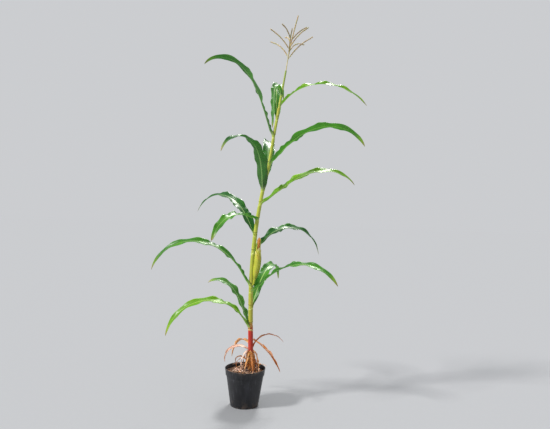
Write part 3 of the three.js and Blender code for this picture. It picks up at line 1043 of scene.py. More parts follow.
def sheath_place(leaf, foot, tucked):
    """A rule for one sheath's skin: wrapped once round with a lap, and loosest at its collar."""
    heading = math.radians(leaf.heading)

    def place(along, across):
        turn = (across - 0.5) * (TURN + SHEATH_LAP)
        behind = ease(np.abs(turn), SHEATH_DIP_FROM, math.pi)
        top = leaf.height + mix(SHEATH_FRONT, SHEATH_BACK, behind)
        height = mix(foot, top, along)
        radius = sheath_radius(height, along, turn)
        if tucked:
            radius = radius - TUCKED_IN * (1 - along)
        else:
            radius = radius + PULVINUS * np.exp(-((height - foot) / PULVINUS_HEIGHT) ** 2)
        return round_stalk(height, heading - turn, radius)

    return place


# %% Ligules
LIGULE_ROWS = 3
LIGULE_COLUMNS = 24
LIGULE_HEIGHT = 4
LIGULE_SUNK = 2
LIGULE_SPAN = 0.5
LIGULE_GAP = 0.7
LIGULE_FLARE = 0.5
LIGULE_THICKNESS = 0.3


def ligule_place(leaf):
    """A rule for the papery rim that stands up inside the collar, against the culm."""
    heading = math.radians(leaf.heading)

    def place(along, across):
        turn = (across - 0.5) * TURN * LIGULE_SPAN
        ragged = (1 + 0.12 * np.sin(across * 47) * along) * (1 - 0.7 * np.abs(across * 2 - 1) ** 3)
        height = leaf.height - LIGULE_SUNK + LIGULE_HEIGHT * along * ragged
        radius = stalk_radius(height) + LIGULE_GAP + LIGULE_FLARE * along
        return round_stalk(height, heading - turn, radius)

    return place


def make_sheaths():
    """Every sheath and its ligule."""
    bm = new_mesh()
    for index, leaf in enumerate(LEAVES):
        add_sheet(bm, SHEATH_ROWS, SHEATH_COLUMNS, sheath_place(leaf, *sheath_foot(index)))
    sheaths = finish_piece(bm, "leaf_sheaths", [stalk_finish("sheath_skin", True)])
    thicken(sheaths, SHEATH_WALL)
    bm = new_mesh()
    for leaf in LEAVES:
        add_sheet(bm, LIGULE_ROWS, LIGULE_COLUMNS, ligule_place(leaf))
    material, tree = new_tree("ligule_paper")
    speckle = cloud(tree, own_place(tree), 300.0)
    colour = blend(tree, speckle, (0.50, 0.50, 0.17), (0.38, 0.36, 0.10))
    finish_tree(tree, surface(tree, colour, 0.6))
    thicken(finish_piece(bm, "ligules", [material]), LIGULE_THICKNESS)


make_sheaths()

# %% [markdown]
# ## Leaves
#
# A maize blade leaves its collar steeply, arches over under its own weight and hangs at its tip.
# Its section is a shallow gutter with a stout pale midrib under it, and its edges grow longer than
# its middle, so they ruffle. The solids follow the same rule with few faces. Here it runs again
# with a fine grid: the middle line is walked in small steps while its slope, bearing and roll
# change, and each row of the grid is laid across it as an arc.

# %% A blade's middle line
SPINE_STEPS = 120
SOURCE_COLUMNS = 4
FOOT_CLEARANCE = 0.45
FOOT_THICKNESS = 3.6
FOOT_INSET = 0.44
FOOT_WRAP = 1.2
FOOT_GRIP = 7
FOOT_LIFT = 3


def blade_start(leaf):
    """Where a blade's middle line starts, and the radius at which its foot clasps the stalk."""
    if leaf.foot is not None:
        return np.array(leaf.foot, float), leaf.half_width / FOOT_WRAP
    near = stalk_radius(leaf.height) + FOOT_CLEARANCE
    foot_angle = min(FOOT_WRAP, leaf.half_width / (near + FOOT_THICKNESS / 2))
    foot_radius = near / math.cos(foot_angle / SOURCE_COLUMNS) + FOOT_THICKNESS * FOOT_INSET
    out = heading_vector(math.radians(leaf.heading))
    centre = stalk_centre(leaf.height)
    lean = (stalk_centre(leaf.height + FOOT_GRIP) - centre) @ out
    steepness = abs(math.sin(math.radians(leaf.slopes[0])))
    start = centre + out * (mix(near, foot_radius, steepness) + max(lean, 0))
    start[2] += FOOT_LIFT
    return start, foot_radius


def blade_spine(leaf):
    """The middle line's points with their sideways and upward directions, and the foot radius."""
    start, foot_radius = blade_start(leaf)
    share = np.linspace(0, 1, SPINE_STEPS + 1)
    bend = np.minimum(1, share / leaf.settle) ** leaf.hold
    slope = np.radians(mix(*leaf.slopes, bend))
    bearing = np.radians(leaf.heading + leaf.turn * share)
    level = np.zeros_like(share)
    along = np.stack([np.cos(slope) * np.cos(bearing), np.cos(slope) * np.sin(bearing), np.sin(slope)], 1)
    side = np.stack([-np.sin(bearing), np.cos(bearing), level], 1)
    up = np.cross(along, side)
    roll = np.radians(leaf.twist * share)[:, None]
    side, up = side * np.cos(roll) + up * np.sin(roll), up * np.cos(roll) - side * np.sin(roll)
    steps = np.cumsum(along[:-1], axis=0) * leaf.length / SPINE_STEPS
    return start + np.vstack([np.zeros(3), steps]), side, up, foot_radius


def rows_at(rows, share):
    """Rows of vectors looked up at shares of the way along."""
    index = np.arange(len(rows))
    return np.stack([np.interp(share * SPINE_STEPS, index, rows[:, axis]) for axis in range(3)], 1)


# %% [markdown]
# Across its middle line a blade is widest a third of the way out and then tapers to a point. Two
# sorts of random noise make it look grown: lifts that cockle a green lamina or crease a dry one,
# and notches that tear in the edges of a dead leaf.

# %% A blade's width, creases and tears
WIDEST_AT = 0.32
TAPER_POWER = 1.7
TIP_HALF_WIDTH = 0.5
TIP_SHARPNESS = 0.66


def blade_half_width(leaf, share, foot_half_width):
    """Half the blade's width: widest a third of the way out, then a long taper."""
    widened = mix(foot_half_width, leaf.half_width, ease(share, 0, WIDEST_AT))
    beyond = np.clip((share - WIDEST_AT) / (1 - WIDEST_AT), 0, 1)
    return np.maximum(widened * (1 - beyond ** TAPER_POWER) ** TIP_SHARPNESS, TIP_HALF_WIDTH)


def creases(leaf, run, sideways, dry):
    """Smooth random lifts: shallow cockles of a green blade, or sharp creases of a dry one."""
    if not dry:
        return np.array([wander(r / 55, s / 30, 0, leaf.height) for r, s in zip(run, sideways)])
    return np.array([
        wander(r / 38, s / 13, 0, leaf.height) + 0.45 * wander(r / 70, s / 3.2, 0, leaf.height + 3)
        + 0.35 * wander(r / 8, s / 5, 0, leaf.height + 6)
        for r, s in zip(run, sideways)
    ])


def tears(leaf, run, across):
    """How far each edge of a dead leaf is torn in, as a share of its width."""
    seeds = np.where(across > 0, 5, 9)
    return np.array([
        min(0, wander(r / 26, seed, 0, leaf.height) + 0.35 * wander(r / 5, seed, 0, leaf.height) - 0.1)
        for r, seed in zip(run, seeds)
    ])


# %% [markdown]
# At its foot the blade goes on from the sheath and still clasps the stalk, so its first few
# centimetres are mixed from two shapes: a piece of sheath, and the free blade. Its edges then
# ripple in long waves, with short ruffles on them, and a groove runs down its middle.

# %% A blade's skin
OPENING_LENGTH = 38
EDGE_PHASE = 2.1
# Blades with other headings ripple out of step by this much for each radian between them.
HEADING_PHASE = 57.3
USUAL_WAVE = 7
RIB_WIDTH = 3.2
RIB_GROOVE = 1.1
RUFFLE = 4.2
RUFFLE_LENGTH = 10
COCKLE = 1.4
COLLAR_LENGTH = 46
COLLAR_DROP = 5
COLLAR_RISE = 0.75
COLLAR_WALL = 0.8
COLLAR_PROUD = 0.15
COLLAR_WIDTH_SHARE = 0.7
COLLAR_MOST_WRAP = 2.1


def collar_place(leaf, run, across):
    """The blade's first stretch as it would be if it went on clasping the stalk as a sheath."""
    height = leaf.height - COLLAR_DROP + run * COLLAR_RISE
    clasped = stalk_radius(leaf.height) + SHEATH_OUTSIDE + SHEATH_LOOSENESS
    wrap = min(COLLAR_MOST_WRAP, leaf.half_width * COLLAR_WIDTH_SHARE / clasped)
    turn = across * wrap
    radius = sheath_radius(height, 1, -turn) - COLLAR_WALL + COLLAR_PROUD
    return round_stalk(height, math.radians(leaf.heading) + turn, radius)


def blade_place(leaf, crumple=0.0, collar=False):
    """A rule for one blade's upper skin, with across from 0 to 1 edge to edge."""
    middle, side, up, foot_radius = blade_spine(leaf)
    foot_half_width = min(foot_radius * FOOT_WRAP, leaf.half_width)
    if collar:
        foot_half_width = leaf.half_width * COLLAR_WIDTH_SHARE
    wrap = math.copysign(foot_half_width / foot_radius, leaf.fold)

    def place(share, across):
        across = across * 2 - 1
        run = share * leaf.length
        opening = np.exp(-run / OPENING_LENGTH)
        half = mix(leaf.fold, wrap, opening) + leaf.roll * ease(share, 0.1, 1.0)
        width = blade_half_width(leaf, share, foot_half_width)
        if leaf.ragged:
            width = width * (1 + leaf.ragged * tears(leaf, run, across))
        curve = width / half
        turn = half * across
        phase = math.radians(leaf.heading) * HEADING_PHASE + np.where(across > 0, 0, EDGE_PHASE)
        ripple = np.sin(share * leaf.wave_count * TURN + phase)
        waviness = leaf.wave * ease(share, 0, WIDEST_AT) * (1 - share ** 3)
        lift = waviness * ripple * across ** 2
        fine = np.sin(run / RUFFLE_LENGTH + phase * 3 + 2.2 * np.sin(run / 41 + phase))
        fading = ease(share, 0.02, 0.14) * (1 - share) ** 1.2
        lift = lift + RUFFLE * leaf.wave / USUAL_WAVE * fine * fading * np.abs(across) ** 3
        sideways = curve * np.sin(turn)
        groove = RIB_GROOVE * np.exp(-(sideways / RIB_WIDTH) ** 2) * (1 - share) ** 0.5
        upward = curve * (1 - np.cos(turn)) + lift - groove
        upward = upward + (crumple or COCKLE * fading) * creases(leaf, run, sideways, crumple > 0)
        points = rows_at(middle, share)
        points = points + unit(rows_at(side, share)) * sideways[:, None]
        points = points + unit(rows_at(up, share)) * upward[:, None]
        if collar:
            freed = ease(run, 0, COLLAR_LENGTH)[:, None]
            points = mix(collar_place(leaf, run, across), points, freed)
        return points

    return place


# %% [markdown]
# A blade is thick at its midrib and thin as paper at its edges, so its Solidify modifier reads a
# weight for each vertex. The underside takes its own finish: it is paler and duller, and the
# midrib stands out of it as a round keel.

# %% Leaf sheets
BLADE_ROWS = 240
BLADE_COLUMNS = 20
LAMINA_THICKNESS = 0.55
KEEL_THICKNESS = 3.4
RIDGE_SHARE = 0.16
RIDGE_RISE = 6
RIDGE_HALF_LENGTH = 5
# Below 1, the columns of a blade's grid crowd towards its midrib.
RIB_CROWDING = 0.6


def thickness_weights(leaf, share, across):
    """The blade's thickness at each vertex, as a share of the keel's at the foot."""
    offset = (across * 2 - 1) * leaf.half_width
    run = share * leaf.length
    keel = np.exp(-(offset / RIB_WIDTH) ** 2) * (1 - share) ** 0.8 * ease(run, 4, COLLAR_LENGTH)
    ridge = RIDGE_SHARE * np.exp(-((run - COLLAR_DROP - RIDGE_RISE) / RIDGE_HALF_LENGTH) ** 2)
    wall = mix(COLLAR_WALL, LAMINA_THICKNESS, ease(run, 0, COLLAR_LENGTH)) / KEEL_THICKNESS
    wall = wall * ease(run, -2, 8)
    return np.clip(wall + (1 - wall) * keel + ridge, 0, 1)


def make_blade(name, leaf, materials, replaced):
    """One green blade with its keel."""
    bm = new_mesh("blade")
    rule = blade_place(leaf, collar=True)
    spread = {}

    def place(share, across):
        centred = across * 2 - 1
        across = 0.5 + 0.5 * centred * (RIB_CROWDING + (1 - RIB_CROWDING) * centred ** 2)
        spread["share"] = share
        spread["across"] = across
        return rule(share, across)

    add_sheet(bm, BLADE_ROWS, BLADE_COLUMNS, place)
    bm.verts.index_update()
    across_map = bm.loops.layers.uv.active
    for face in bm.faces:
        for loop in face.loops:
            loop[across_map].uv.y = spread["across"][loop.vert.index]
    piece = finish_piece(bm, name, materials, replaced)
    thicken(piece, KEEL_THICKNESS, thickness_weights(leaf, spread["share"], spread["across"]), under=1)


# %% [markdown]
# The blade's finish is the heart of this plant. Its layers: a lamina that varies slowly along it,
# fine parallel veins, a few yellow spots, a thin light edge, a pale collar, a pale midrib that
# narrows towards the tip, the stalk's own tint at the foot, and a tip that goes yellow and then
# brown. Thin leaves let light through, so a Translucent shader in a brighter, yellower green is
# mixed in. The gloss comes from a low roughness that varies along the streaks.

# %% Leaf colours
VEINS = 34
VEIN_DEPTH = 0.00002
LETS_THROUGH = 0.5
# The part that passes light looks darker, so a foot needs brighter tints to match its sheath.
FOOT_GAIN = 1.7
FOOT_BRIGHTEST = 0.95
FOOT_TINTS = tuple(
    (height, tuple(min(FOOT_BRIGHTEST, FOOT_GAIN * part) for part in tint))
    for height, tint in STALK_TINTS
)


class Tone(NamedTuple):
    """A leaf's colours: its lamina, a darker streak, what shines through it, and its midrib."""
    lamina: tuple
    streak: tuple
    glow: tuple
    rib: tuple


# Partly the leaves' own greens, partly painted light and shade: the yellow-green and pale tones are
# sunlit leaves, the deep tone shaded ones.
TONES = {
    "shaded_deep": Tone((0.026, 0.150, 0.026), (0.010, 0.080, 0.020), (0.12, 0.50, 0.02), (0.38, 0.54, 0.22)),
    "fresh": Tone((0.060, 0.250, 0.022), (0.020, 0.135, 0.018), (0.24, 0.64, 0.02), (0.46, 0.62, 0.20)),
    "sunlit_lime": Tone((0.200, 0.430, 0.020), (0.085, 0.250, 0.018), (0.50, 0.80, 0.02), (0.60, 0.70, 0.20)),
    "pale": Tone((0.120, 0.310, 0.080), (0.050, 0.180, 0.045), (0.32, 0.66, 0.10), (0.62, 0.72, 0.44)),
}
print("tones:", ", ".join(TONES))


# %% Leaf finish
def leaf_finish(name, tone, under):
    """One face of a blade, upper or under."""
    material, tree = new_tree(name)
    map_at, along, across = map_place(tree, "blade")
    place = own_place(tree)
    centred = calculate(tree, "ABSOLUTE", calculate(tree, "SUBTRACT", across, 0.5))
    off_rib = times(tree, centred, 2.0)
    streaks = cloud(tree, map_at, 1.0, 5.0, (3.5, 60.0, 1.0))
    slow = cloud(tree, place, 9.0, 3.0)
    colour = blend(tree, fade(tree, streaks, 0.3, 0.7), tone.streak, tone.lamina)
    yellower = tuple(mix(part, glow, 0.35) for part, glow in zip(tone.lamina, tone.glow))
    colour = blend(tree, fade(tree, slow, 0.45, 0.75, 0.0, 0.8), colour, yellower)
    vein = stripes(tree, across, VEINS)
    colour = blend(tree, fade(tree, vein, 0.2, 1.0, 0.0, 0.30), colour, yellower)
    if under:
        colour = blend(tree, 0.24, colour, (0.30, 0.46, 0.18))
    spots = fade(tree, cloud(tree, place, 85.0, 5.0), 0.64, 0.72, 0.0, 0.45)
    colour = blend(tree, spots, colour, (0.40, 0.40, 0.07))
    edge = fade(tree, off_rib, 0.94, 1.0)
    colour = blend(tree, times(tree, edge, 0.5), colour, tone.rib)
    collar = fade(tree, along, 0.015, 0.06, 0.9, 0.0)
    colour = blend(tree, collar, colour, COLLAR_TINT)
    rib_width = fade(tree, along, 0.0, 1.0, 0.15, 0.035)
    rib = fade(tree, calculate(tree, "DIVIDE", off_rib, rib_width), 0.45, 1.0, 0.9, 0.0)
    colour = blend(tree, rib, colour, tone.rib)
    foot = fade(tree, along, 0.004, 0.032, 1.0, 0.0)
    colour = blend(tree, foot, colour, tint_at(tree, height_of(tree, place), FOOT_TINTS))
    scorch = calculate(tree, "ADD", along, times(tree, streaks, 0.10))
    yellowed = fade(tree, scorch, 0.90, 1.03, 0.0, 0.6)
    colour = blend(tree, yellowed, colour, (0.48, 0.50, 0.08))
    tip = fade(tree, scorch, 0.995, 1.03)
    colour = blend(tree, times(tree, tip, 0.85), colour, (0.40, 0.25, 0.10))
    normal = bumps(tree, vein, VEIN_DEPTH)
    rough = (0.42, 0.58) if under else (0.27, 0.40)
    front = surface(tree, colour, fade(tree, streaks, 0.3, 0.7, *rough), normal)
    glow = blend(tree, 0.35, tone.glow, colour)
    through = add_node(tree, "BsdfTranslucent", {"Color": glow}).outputs[0]
    shader = add_node(tree, "MixShader", {0: LETS_THROUGH, 1: front, 2: through}).outputs[0]
    finish_tree(tree, shader)
    return material


# %% [markdown]
# The sixteen green leaves differ in size, bend and tone, and one rule makes them all from their
# list of sizes. That is easier to keep true to the solids than sixteen modelled leaves. The tones
# are partly each leaf's own green and partly painted light and shade. Each tone's two finishes are
# made once and shared, and a leaf gets them for its upper and under side.

# %% Green leaves
leaf_finishes = {
    name: [leaf_finish(f"leaf_{name}_upper", tone, False), leaf_finish(f"leaf_{name}_under", tone, True)]
    for name, tone in TONES.items()
}
for number, leaf in enumerate(LEAVES, start=1):
    nodes = [f"leaf_{number:02}_inner", f"leaf_{number:02}_outer"]
    make_blade(f"leaf_{number:02}_blade", leaf, leaf_finishes[leaf.tone], nodes)

# %% [markdown]
# ## Dead leaves
#
# The lowest leaves have died. They rolled up lengthwise as they dried, snapped over and hang to the
# soil, and their torn sheaths stand off the foot of the stalk like paper. They follow the rule for
# a blade with a tight fold, no keel and creases from noise. Three finishes share them: tan, rust
# and a sun-bleached pink. Each is a fibrous streak of light and dark with brown blotches and pale
# patches, partly bleaching and partly painted highlight, and lets a little light through.

# %% Dry finishes
DRY_LETS_THROUGH = 0.25
FIBRES = (2.0, 26.0, 1.0)
FIBRE_DEPTH = 0.0010


def dry_finish(name, light, dark):
    """Papery dead leaf: fibres, brown blotches, and pale patches that are partly bleaching and partly
    painted highlight.
    """
    material, tree = new_tree(name)
    map_at, _, _ = map_place(tree, "blade")
    place = own_place(tree)
    fibres = cloud(tree, map_at, 1.0, 6.0, FIBRES)
    blotches = cloud(tree, place, 34.0, 4.0)
    colour = blend(tree, fade(tree, fibres, 0.32, 0.68), dark, light)
    browner = tuple(part * 0.45 for part in dark)
    colour = blend(tree, fade(tree, blotches, 0.56, 0.72, 0.0, 0.55), colour, browner)
    # Pale patches: partly the leaf's own bleaching, partly painted highlight.
    bleach_and_highlight = fade(tree, cloud(tree, place, 16.0, 3.0), 0.50, 0.66, 0.0, 0.7)
    colour = blend(tree, bleach_and_highlight, colour, (0.88, 0.72, 0.60))
    ridges = cloud(tree, map_at, 1.0, 2.0, FIBRES)
    normal = bumps(tree, ridges, FIBRE_DEPTH)
    front = surface(tree, colour, 0.46, normal)
    through = add_node(tree, "BsdfTranslucent", {"Color": colour, "Normal": normal}).outputs[0]
    shader = add_node(tree, "MixShader", {0: DRY_LETS_THROUGH, 1: front, 2: through}).outputs[0]
    finish_tree(tree, shader)
    return material


DRY_TAN = dry_finish("dry_tan", (0.84, 0.47, 0.16), (0.60, 0.240, 0.055))
DRY_RUST = dry_finish("dry_rust", (0.78, 0.32, 0.075), (0.48, 0.140, 0.030))
DRY_PINK = dry_finish("dry_pink", (0.93, 0.73, 0.62), (0.76, 0.44, 0.30))

# %% [markdown]
# Each dead leaf is one sheet along a blade's middle line, folded hard, waved and crumpled by noise,
# and then made thin paper with two faces. A cloth simulation could crumple it too, but the rule
# keeps it on the line of the solid that it replaces.

# %% Dead leaves
DRY_LEAVES = (
    Blade(398, -6, 262, 16, (-26, -66), 0.9, -10, 50, roll=0.6, ragged=0.5),
    Blade(338, 182, 206, 17, (30, -104), 1.2, 8, -50, roll=1.2, ragged=0.5),
    Blade(262, 164, 128, 9, (38, -88), 2.4, 24, 20, settle=0.75, roll=1.6, ragged=0.4),
    Blade(366, 116, 310, 18, (14, -84), 1.2, 14, 36, roll=1.0, ragged=0.5),
    Blade(350, 30, 250, 8, (72, -56), 0.9, -18, 30, roll=1.8, ragged=0.4),
    Blade(290, 96, 168, 13, (24, -66), 1.2, 18, -34, roll=1.4, ragged=0.5),
)
DRY_LEAF_FINISHES = (DRY_RUST, DRY_PINK, DRY_TAN, DRY_TAN, DRY_RUST, DRY_PINK)
DRY_LEAF_ROWS = 120
DRY_LEAF_COLUMNS = 18
DRY_FOLD = 1.0
DRY_WAVE = 1.6
DRY_WAVE_COUNT = 4.3
DRY_CRUMPLE = 2.6
DRY_THICKNESS = 0.45


def make_dry_leaf(name, leaf, rows, columns, material, replaced):
    """One dead leaf, creased and thin."""
    bm = new_mesh("blade")
    leaf = leaf._replace(fold=DRY_FOLD, wave=DRY_WAVE, wave_count=DRY_WAVE_COUNT)
    add_sheet(bm, rows, columns, blade_place(leaf, DRY_CRUMPLE))
    thicken(finish_piece(bm, name, [material], replaced), DRY_THICKNESS)


for number, (leaf, finish) in enumerate(zip(DRY_LEAVES, DRY_LEAF_FINISHES), start=1):
    nodes = [f"dry_leaf_{number}_inner", f"dry_leaf_{number}_outer"]
    make_dry_leaf(f"dead_leaf_{number}", leaf, DRY_LEAF_ROWS, DRY_LEAF_COLUMNS, finish, nodes)

# %% [markdown]
# The dead leaves' sheaths still wrap the foot of the stalk in torn layers. Each flap is a sheet
# bent part of the way round the stalk: it clings at its foot, creases as it rises, and curls away
# at a frayed top. The inner flaps are tall and wide, and the outer ones short and narrow. Three
# strips of sheath hang off them down to the soil.

# %% Torn sheaths
TORN_ROWS = 26
TORN_COLUMNS = 40
TORN_FLAPS = 10
# What each of these is for the innermost flap, and what it goes to for the outermost.
TORN_FEET = (STALK_BOTTOM + 14, STALK_BOTTOM)
TORN_TOPS = (334, 280)
TORN_SPANS = (180, 70)
TORN_LAYERS = (0.3, 4.6)
TORN_CREASE = 1.6
FRAY = 34
STRIP_ROWS = 50
STRIP_COLUMNS = 10
DRY_SHEATHS = (
    Blade(330, 232, 112, 11, (-76, -60), 1.5, 6, 8, ragged=0.9),
    Blade(322, 308, 108, 10, (-78, -58), 1.6, -6, -8, ragged=0.9),
    Blade(316, 18, 100, 10, (-76, -56), 1.5, 8, 10, ragged=0.9),
)


class Torn(NamedTuple):
    """A torn flap: where it faces, how far round it goes, its foot, top and layer, and its curl."""
    heading: float
    span: float
    foot: float
    top: float
    layer: float
    curl: float
    seed: int


def torn_flaps():
    """Flaps in layers, the inner ones tall and the outer ones short."""
    draw = random.Random(31)
    flaps = []
    for i in range(TORN_FLAPS):
        share = i / TORN_FLAPS
        foot = mix(*TORN_FEET, share) + draw.uniform(0, 4)
        top = mix(*TORN_TOPS, share) + draw.uniform(-14, 14)
        heading = math.degrees(GOLDEN_ANGLE) * i + 250
        span = mix(*TORN_SPANS, share) * draw.uniform(0.8, 1.2)
        layer = mix(*TORN_LAYERS, share)
        flaps.append(Torn(heading, span, foot, top, layer, draw.uniform(1, 9), 31 + i))
    return flaps


def torn_place(torn):
    """A rule for a torn flap: it clings at its foot, narrows, and curls away at its frayed top."""
    def place(along, across):
        centred = across * 2 - 1
        frayed = np.array([
            wander(a * 3.4, 0, 0, torn.seed) + 0.35 * wander(a * 17, 0, 0, torn.seed + 3) for a in across
        ])
        top = torn.top + FRAY * frayed - 16 * np.abs(centred) ** 3
        height = mix(torn.foot, top, along)
        turn = centred * math.radians(torn.span) / 2 * (1 - 0.35 * along ** 2)
        crease = np.array([wander(h / 22, a * 7, 0, torn.seed) for h, a in zip(height, across)])
        loose = ease(along, 0.05, 0.5)
        curl = torn.curl * along ** 3 + 3.5 * np.abs(centred) ** 3 * loose
        creased = TORN_CREASE * np.maximum(crease, -0.5) * loose
        radius = stalk_radius(height) + 1.0 + torn.layer + creased + curl
        return round_stalk(height, math.radians(torn.heading) - turn, radius)

    return place


def make_torn_sheaths():
    """The dead sheaths round the foot of the stalk, with the strips that hang off them."""
    bm = new_mesh("blade")
    for torn in torn_flaps():
        add_sheet(bm, TORN_ROWS, TORN_COLUMNS, torn_place(torn))
    thicken(finish_piece(bm, "torn_sheaths", [DRY_TAN]), DRY_THICKNESS)
    finishes = (DRY_TAN, DRY_RUST, DRY_PINK)
    for number, (strip, finish) in enumerate(zip(DRY_SHEATHS, finishes), start=1):
        nodes = [f"dry_sheath_{number}"]
        make_dry_leaf(f"torn_strip_{number}", strip, STRIP_ROWS, STRIP_COLUMNS, finish, nodes)


make_torn_sheaths()

# %% [markdown]
# Over the flaps hang straps and ribbons of leaf. The straps are wide and bow away from the stalk
# before they drop, as the bleached ones in the photograph do, so each is listed one by one. The
# ribbons are narrow and many, so they are drawn at random round the stalk. All follow the rule for
# a blade, and each finish's lot is joined into one piece.

# %% Straps and ribbons
STRAP_ROWS = 60
STRAP_COLUMNS = 12
STRAP_CRUMPLE = 2.2
STRAPS = (
    Blade(332, 207, 160, 9, (-14, -126), 0.72, 24, 40, fold=0.7, wave=2, roll=0.7, ragged=0.5),
    Blade(336, 332, 152, 8, (-34, -108), 0.80, -20, -30, fold=0.8, wave=2, roll=0.9, ragged=0.6),
    Blade(318, 282, 124, 6, (-56, -84), 1.10, 26, 50, fold=-0.7, wave=2, roll=0.5, ragged=0.7),
    Blade(326, 52, 150, 9, (-10, -118), 0.75, 18, 36, fold=0.8, wave=2, roll=0.8, ragged=0.5),
    Blade(322, 140, 146, 8, (-22, -112), 0.80, -22, -40, fold=-0.8, wave=2, roll=0.6, ragged=0.6),
    Blade(276, 188, 118, 4, (44, -112), 0.90, -14, 30, fold=0.9, wave=2, roll=1.0, ragged=0.6),
    Blade(234, 196, 104, 3, (40, -14), 1.00, 10, 60, fold=0.8, wave=2, roll=1.2, ragged=0.6),
    Blade(242, 350, 88, 2.6, (28, -30), 1.20, -12, 50, fold=0.8, wave=2, roll=1.2, ragged=0.6),
)
RIBBON_COUNT = 14
RIBBON_ROWS = 44
RIBBON_COLUMNS = 8


def make_ribbons():
    """Wide straps that bow away from the stalk, and narrow strips that spread over the soil."""
    draw = random.Random(71)
    meshes = [new_mesh("blade") for _ in range(3)]
    for i, strap in enumerate(STRAPS):
        rule = blade_place(strap, STRAP_CRUMPLE)
        add_sheet(meshes[(i + 2) % 3], STRAP_ROWS, STRAP_COLUMNS, rule)
    for i in range(RIBBON_COUNT):
        height = draw.uniform(268, 338)
        drop = height - SOIL_TOP
        ribbon = Blade(
            height, 360 * i / RIBBON_COUNT + draw.uniform(-16, 16), drop * draw.uniform(0.75, 1.12),
            draw.uniform(3, 8), (draw.uniform(-84, -70), draw.uniform(-64, -38)), draw.uniform(1.2, 2.4),
            draw.uniform(-30, 30), draw.uniform(-60, 60), fold=draw.uniform(-0.9, 0.9), wave=1.4,
            wave_count=3.3, roll=draw.uniform(0, 1.2), ragged=0.9,
        )
        rule = blade_place(ribbon, DRY_CRUMPLE)
        add_sheet(meshes[i % 3], RIBBON_ROWS, RIBBON_COLUMNS, rule)
    for number, (bm, finish) in enumerate(zip(meshes, (DRY_TAN, DRY_RUST, DRY_PINK)), start=1):
        thicken(finish_piece(bm, f"torn_ribbons_{number}", [finish]), DRY_THICKNESS)


make_ribbons()

# %% [markdown]
# Pieces have snapped off and lie on the soil. A bit of litter is again a short blade, started on
# the soil at a random place near the stalk, curled, torn and nearly level.

# %% Litter
LITTER_COUNT = 64
LITTER_ROWS = 22
LITTER_COLUMNS = 6
LITTER_CRUMPLE = 2.4
LITTER_NEAREST = 30
LITTER_FARTHEST = 92
LITTER_LIFT = 2


def make_litter():
    """Snapped bits of dead leaf that lie on the soil inside the pot."""
    draw = random.Random(41)
    meshes = [new_mesh("blade") for _ in range(2)]
    for i in range(LITTER_COUNT):
        angle = draw.uniform(0, TURN)
        radius = mix(LITTER_NEAREST, LITTER_FARTHEST, draw.random() ** 1.2)
        x, y = radius * math.cos(angle), radius * math.sin(angle)
        length = draw.uniform(14, 58)
        bit = Blade(
            i * 3.7, math.degrees(angle) + draw.uniform(90, 270), length, draw.uniform(1.2, 5.0),
            (draw.uniform(0, 30), draw.uniform(-34, -6)), 1.0, draw.uniform(-70, 70),
            draw.uniform(-100, 100), fold=draw.uniform(0.3, 1.2), wave=1.0, wave_count=2,
            ragged=1.1, foot=(x, y, soil_height(x, y) + LITTER_LIFT),
        )
        add_sheet(meshes[i % 2], LITTER_ROWS, LITTER_COLUMNS, blade_place(bit, LITTER_CRUMPLE))
    for number, (bm, finish) in enumerate(zip(meshes, (DRY_TAN, DRY_PINK)), start=1):
        thicken(finish_piece(bm, f"leaf_litter_{number}", [finish]), DRY_THICKNESS)


make_litter()

# %% [markdown]
# ## Ear
#
# The ear stands on a short shank in the angle of a leaf, wrapped in husk leaves that overlap like
# shingles. The silk, one thread for each kernel, comes out at the top and has dried to a brown
# tuft. Each husk leaf is a sheet laid on the ear's round form, a fraction of a millimetre further
# out than the one under it, and narrows to a point. The outer ones start lower on the shank.

# %% Ear shape
EAR_HEADING = math.radians(-32)
EAR_FOOT_HEIGHT = 752
EAR_LENGTH = 222
EAR_RADIUS = 19
EAR_SHANK_RADIUS = 6
EAR_TIP_RADIUS = 13
EAR_LEAN_OUT = 21
EAR_TIP_LEAN_OUT = 28
EAR_FOOT_CLEARANCE = 0.9
EAR_WIDEST_FROM = 0.45
EAR_WIDEST_TO = 0.6
SILK_LENGTH = 62
SILK_RADIUS = 12


def ear_axis():
    """The ear's middle line at every millimetre, carried on straight through the silk."""
    out = heading_vector(EAR_HEADING)
    reach = stalk_radius(EAR_FOOT_HEIGHT) + EAR_SHANK_RADIUS + EAR_FOOT_CLEARANCE
    foot = stalk_centre(EAR_FOOT_HEIGHT) + out * reach
    middle = foot + out * EAR_LEAN_OUT + np.array((0, 0, EAR_LENGTH / 2))
    tip = foot + out * EAR_TIP_LEAN_OUT + np.array((0, 0, float(EAR_LENGTH)))
    line = evenly(smooth_curve([foot, middle, tip], 60), EAR_LENGTH)
    onward = unit(line[-1] - line[-2])
    return np.vstack([line, [line[-1] + onward * step for step in range(1, SILK_LENGTH + 1)]])


EAR_AXIS = ear_axis()
_, EAR_NORMALS, EAR_BINORMALS = frames_along(EAR_AXIS)
# The angle round the ear that faces the viewer.
EAR_FRONT = math.atan2(-EAR_BINORMALS[-1][1], -EAR_NORMALS[-1][1])


def ear_radius(distance):
    """The ear's radius at a distance from its foot, or the silk's beyond its tip."""
    share = np.clip(distance / EAR_LENGTH, 0, 1)
    swollen = mix(EAR_SHANK_RADIUS, EAR_RADIUS, ease(share, 0, EAR_WIDEST_FROM))
    closed = mix(swollen, EAR_TIP_RADIUS, ease(share, EAR_WIDEST_TO, 1))
    beyond = np.clip((distance - EAR_LENGTH) / SILK_LENGTH, 0, 1)
    tuft = SILK_RADIUS * np.sqrt(1 - beyond ** 3)
    return np.where(distance > EAR_LENGTH, np.minimum(closed, tuft + 0.5), closed)


